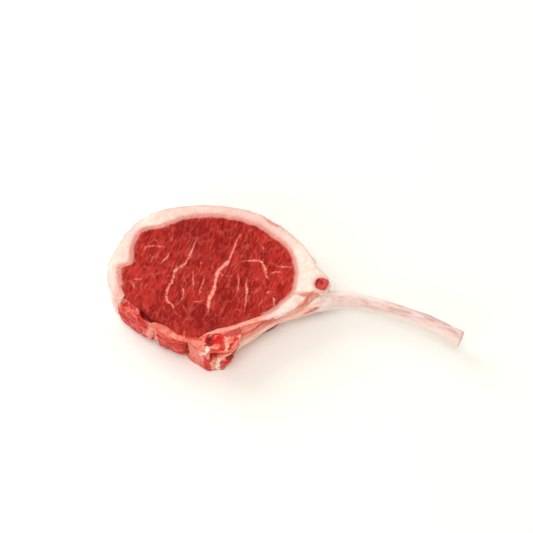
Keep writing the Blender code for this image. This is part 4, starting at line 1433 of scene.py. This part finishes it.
def length(label, text, value):
    """A length in metres that isn't negative."""
    kind = {"unit": "LENGTH", "subtype": "DISTANCE"}
    return FloatProperty(name=label, description=text, default=value, min=0.0, **kind)


def colour(label, text, value):
    """A colour as red, green and blue from 0 to 1, linear."""
    kind = {"min": 0.0, "max": 1.0, "size": 3, "subtype": "COLOR"}
    return FloatVectorProperty(name=label, description=text, default=value, **kind)


def power(label, text, value):
    """A lamp's power in watts."""
    return FloatProperty(name=label, description=text, default=value, min=0.0, unit="POWER")


class ChopSizes(PropertyGroup):
    """Fine sizes of the tissues."""

    bundle_length: length("Bundle length", "Muscle bundles along their longer way", 0.0034)
    bundle_width: length("Bundle width", "Muscle bundles across", 0.0016)
    muscle_relief: length("Muscle relief", "How uneven the cut muscle is", 0.0003)
    fat_crown: length("Fat crown", "How far the middle of the cut fat stands up", 0.0003)
    fat_bulge: length("Fat bulge", "How far the fat's skin side swells", 0.0006)


class ChopColours(PropertyGroup):
    """Colours of the tissues."""

    eye_dark: colour("Eye dark", "The eye's darker grain", (0.235, 0.003, 0.002))
    eye_light: colour("Eye light", "The eye's lighter grain", (0.460, 0.022, 0.014))
    muscle_line: colour("Lines between bundles", "Pale lines in the cut muscle", (0.620, 0.105, 0.088))
    marbling: colour("Marbling", "Lines of fat in the muscle", (0.760, 0.300, 0.235))
    corner_dark: colour("Corner dark", "The small corner muscle's darker part", (0.270, 0.012, 0.018))
    corner_light: colour("Corner light", "The small corner muscle's lighter part", (0.620, 0.075, 0.075))
    fat_light: colour("Fat", "Cream of the fat", (0.870, 0.785, 0.735))
    fat_warm: colour("Fat, warm", "Deeper cream of the fat", (0.785, 0.580, 0.545))
    fat_pink: colour("Fat, pink", "Blushed fat", (0.775, 0.480, 0.435))
    fat_stain: colour("Fat, stained", "Fat beside the muscle", (0.765, 0.400, 0.360))
    rib_dark: colour("Rib meat dark", "Darker fibres beside the rib", (0.590, 0.095, 0.070))
    rib_light: colour("Rib meat light", "Lighter fibres beside the rib", (0.830, 0.310, 0.240))
    side_dark: colour("Side meat dark", "Darker fibres of the side strips", (0.500, 0.015, 0.010))
    side_light: colour("Side meat light", "Lighter fibres of the side strips", (0.700, 0.055, 0.038))
    # Pale skin over the strips, also laid on as a painted highlight on their upper parts and raised streaks.
    skin_and_highlight: colour("Meat skin", "Pale skin over the strips", (0.840, 0.220, 0.170))
    # Painted shade that darkens the pores and grooves, the low places of the relief.
    painted_shade_red: colour("Pores and grooves", "What darkens the pores and grooves", (0.620, 0.360, 0.300))
    bone: colour("Bone", "Ivory of the rib", (0.785, 0.635, 0.615))
    bone_pink: colour("Bone, pink", "Pink of the rib", (0.760, 0.520, 0.500))
    bone_blood: colour("Bone, blood", "Blood streaks on the rib", (0.570, 0.345, 0.315))
    bone_grey: colour("Bone, grey", "Grey-mauve streaks on the rib", (0.500, 0.390, 0.380))
    membrane: colour("Membrane", "Cream skin over the rib", (0.900, 0.755, 0.650))
    bone_cream: colour("Bone, cream", "Cream edges of the rib", (0.830, 0.730, 0.700))
    flank_salmon: colour("Flank", "Salmon skin along the rib", (0.910, 0.420, 0.340))
    flank_cream: colour("Flank, cream", "Cream skin along the rib", (0.910, 0.620, 0.500))
    chine: colour("Backbone", "Salmon of the sawn backbone", (0.800, 0.205, 0.150))
    chine_red: colour("Backbone, red", "Redder bone", (0.560, 0.055, 0.040))
    chine_muted: colour("Backbone, muted", "Muted pink bone", (0.500, 0.065, 0.060))
    marrow: colour("Marrow", "Bright red marrow", (0.560, 0.005, 0.002))
    # Deep red; in the backbone's pit and dips and in the groove along the eye it is painted shade.
    hollow: colour("Hollow", "Dark red in the backbone's hollow and along the rib", (0.240, 0.005, 0.005))
    # Red of the lobes under the backbone; in the side strips' creases it is laid on as painted shade.
    knuckle: colour("Knuckle", "Red lobes under the backbone", (0.560, 0.012, 0.009))
    cartilage: colour("Cartilage", "White gristle", (0.900, 0.720, 0.640))
    gristle_pink: colour("Cartilage, pink", "Tinted gristle", (0.860, 0.380, 0.310))
    gristle_rose: colour("Cartilage, rose", "Rosy gristle", (0.840, 0.270, 0.280))
    fascia_red: colour("Side skin", "Redder skin beside the eye", (0.640, 0.115, 0.085))
    muscle_rim: colour("Muscle's rim", "Fat right beside the muscle", (0.690, 0.230, 0.185))
    fat_fold: colour("Fat's crease", "Tan crease at the fat's corner", (0.660, 0.380, 0.280))
    # Painted shade that darkens the fat's creases, the low places of its relief.
    painted_shade_cream: colour("Shade of the fat", "What darkens the fat's creases", (0.900, 0.820, 0.780))
    gristle_orange: colour("Cartilage, orange", "Orange gristle", (0.830, 0.360, 0.230))


class ChopStage(PropertyGroup):
    """Floor, light and camera."""

    floor_radius: length("Floor", "Radius of the level floor", 1.2)
    floor_bend: length("Floor bend", "Radius of the turn from floor to wall", 0.4)
    wall_height: length("Wall", "Height of the low wall", 0.7)
    floor_colour: colour("Floor colour", "Near white", (0.90, 0.90, 0.90))
    key_power: power("Key", "Large soft lamp at the back left", 7.8)
    overhead_power: power("Overhead", "Soft lamp above", 4.0)
    fill_power: power("Fill", "Soft lamp at the front left", 2.0)
    room_colour: colour("Room colour", "Light from all round", (1.0, 0.92, 0.77))
    room_light: FloatProperty(
        name="Room light", description="Strength of the light from all round", default=0.72, min=0.0
    )
    lens: FloatProperty(name="Lens", description="Focal length in mm", default=100.0, min=1.0)
    elevation: FloatProperty(
        name="Elevation", description="Camera above the horizon", default=radians(64), subtype="ANGLE"
    )
    distance: length("Distance", "From the camera to its aim", 0.5518)
    aim: FloatVectorProperty(
        name="Aim", description="Point that the camera looks at", default=(-0.0072, 0.0088, 0.0085),
        subtype="XYZ",
    )


# ---------------- operators


class BuildEye(Operator):
    """Build the eye muscle"""

    bl_idname = "chop.build_eye"
    bl_label = "Eye muscle"

    def execute(self, context):
        make_eye(context.scene.chop_sizes, context.scene.chop_colours)
        return {"FINISHED"}


class BuildFat(Operator):
    """Build the fat and its seam"""

    bl_idname = "chop.build_fat"
    bl_label = "Fat"

    def execute(self, context):
        make_fat(context.scene.chop_sizes, context.scene.chop_colours)
        return {"FINISHED"}


class BuildCornerMeat(Operator):
    """Build the small muscle at the fat's corner"""

    bl_idname = "chop.build_corner_meat"
    bl_label = "Corner muscle"

    def execute(self, context):
        make_corner_meat(context.scene.chop_colours)
        return {"FINISHED"}


class BuildRib(Operator):
    """Build the bared rib"""

    bl_idname = "chop.build_rib"
    bl_label = "Rib"

    def execute(self, context):
        make_rib(context.scene.chop_colours)
        return {"FINISHED"}


class BuildRibMeat(Operator):
    """Build the strips of meat above and below the rib"""

    bl_idname = "chop.build_rib_meat"
    bl_label = "Rib meat"

    def execute(self, context):
        make_rib_meat(context.scene.chop_colours)
        return {"FINISHED"}


class BuildBackbone(Operator):
    """Build the sawn backbone with its knuckles and gristle"""

    bl_idname = "chop.build_backbone"
    bl_label = "Backbone"

    def execute(self, context):
        make_backbone(context.scene.chop_colours)
        return {"FINISHED"}


class BuildSideMeat(Operator):
    """Build the strips of meat along the sawn side"""

    bl_idname = "chop.build_side_meat"
    bl_label = "Side meat"

    def execute(self, context):
        make_side_meat(context.scene.chop_colours)
        return {"FINISHED"}


class BuildMembranes(Operator):
    """Build the thin skins between the tissues"""

    bl_idname = "chop.build_membranes"
    bl_label = "Membranes"

    def execute(self, context):
        make_membranes(context.scene.chop_colours)
        return {"FINISHED"}


class BuildStage(Operator):
    """Build the floor, the lights and the camera"""

    bl_idname = "chop.build_stage"
    bl_label = "Stage"

    def execute(self, context):
        make_stage(context.scene.chop_stage)
        return {"FINISHED"}


BUILDERS = (
    BuildEye, BuildFat, BuildCornerMeat, BuildRib, BuildRibMeat, BuildBackbone, BuildSideMeat,
    BuildMembranes, BuildStage,
)
GROUPS = {"chop_sizes": ChopSizes, "chop_colours": ChopColours, "chop_stage": ChopStage}


class ChopPanel(Panel):
    """Lists the pieces and their settings"""

    bl_idname = "VIEW3D_PT_lamb_chop"
    bl_label = "Raw Lamb Chop"
    bl_space_type = "VIEW_3D"
    bl_region_type = "UI"
    bl_category = "Lamb Chop"

    def draw(self, context):
        layout = self.layout
        for builder in BUILDERS:
            layout.operator(builder.bl_idname)
        for holder, group in GROUPS.items():
            box = layout.box()
            for setting in group.__annotations__:
                box.prop(getattr(context.scene, holder), setting)


def register():
    """Registers the classes and puts the settings on the scene."""
    for item in (*GROUPS.values(), *BUILDERS, ChopPanel):
        bpy.utils.register_class(item)
    for holder, group in GROUPS.items():
        setattr(bpy.types.Scene, holder, PointerProperty(type=group))


def unregister():
    """Takes the settings and the classes away again."""
    for holder in GROUPS:
        delattr(bpy.types.Scene, holder)
    for item in (ChopPanel, *reversed(BUILDERS), *reversed(GROUPS.values())):
        bpy.utils.unregister_class(item)


def main():
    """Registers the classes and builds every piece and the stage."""
    register()
    for builder in BUILDERS:
        group, action = builder.bl_idname.split(".")
        getattr(getattr(bpy.ops, group), action)()


if __name__ == "__main__":
    main()
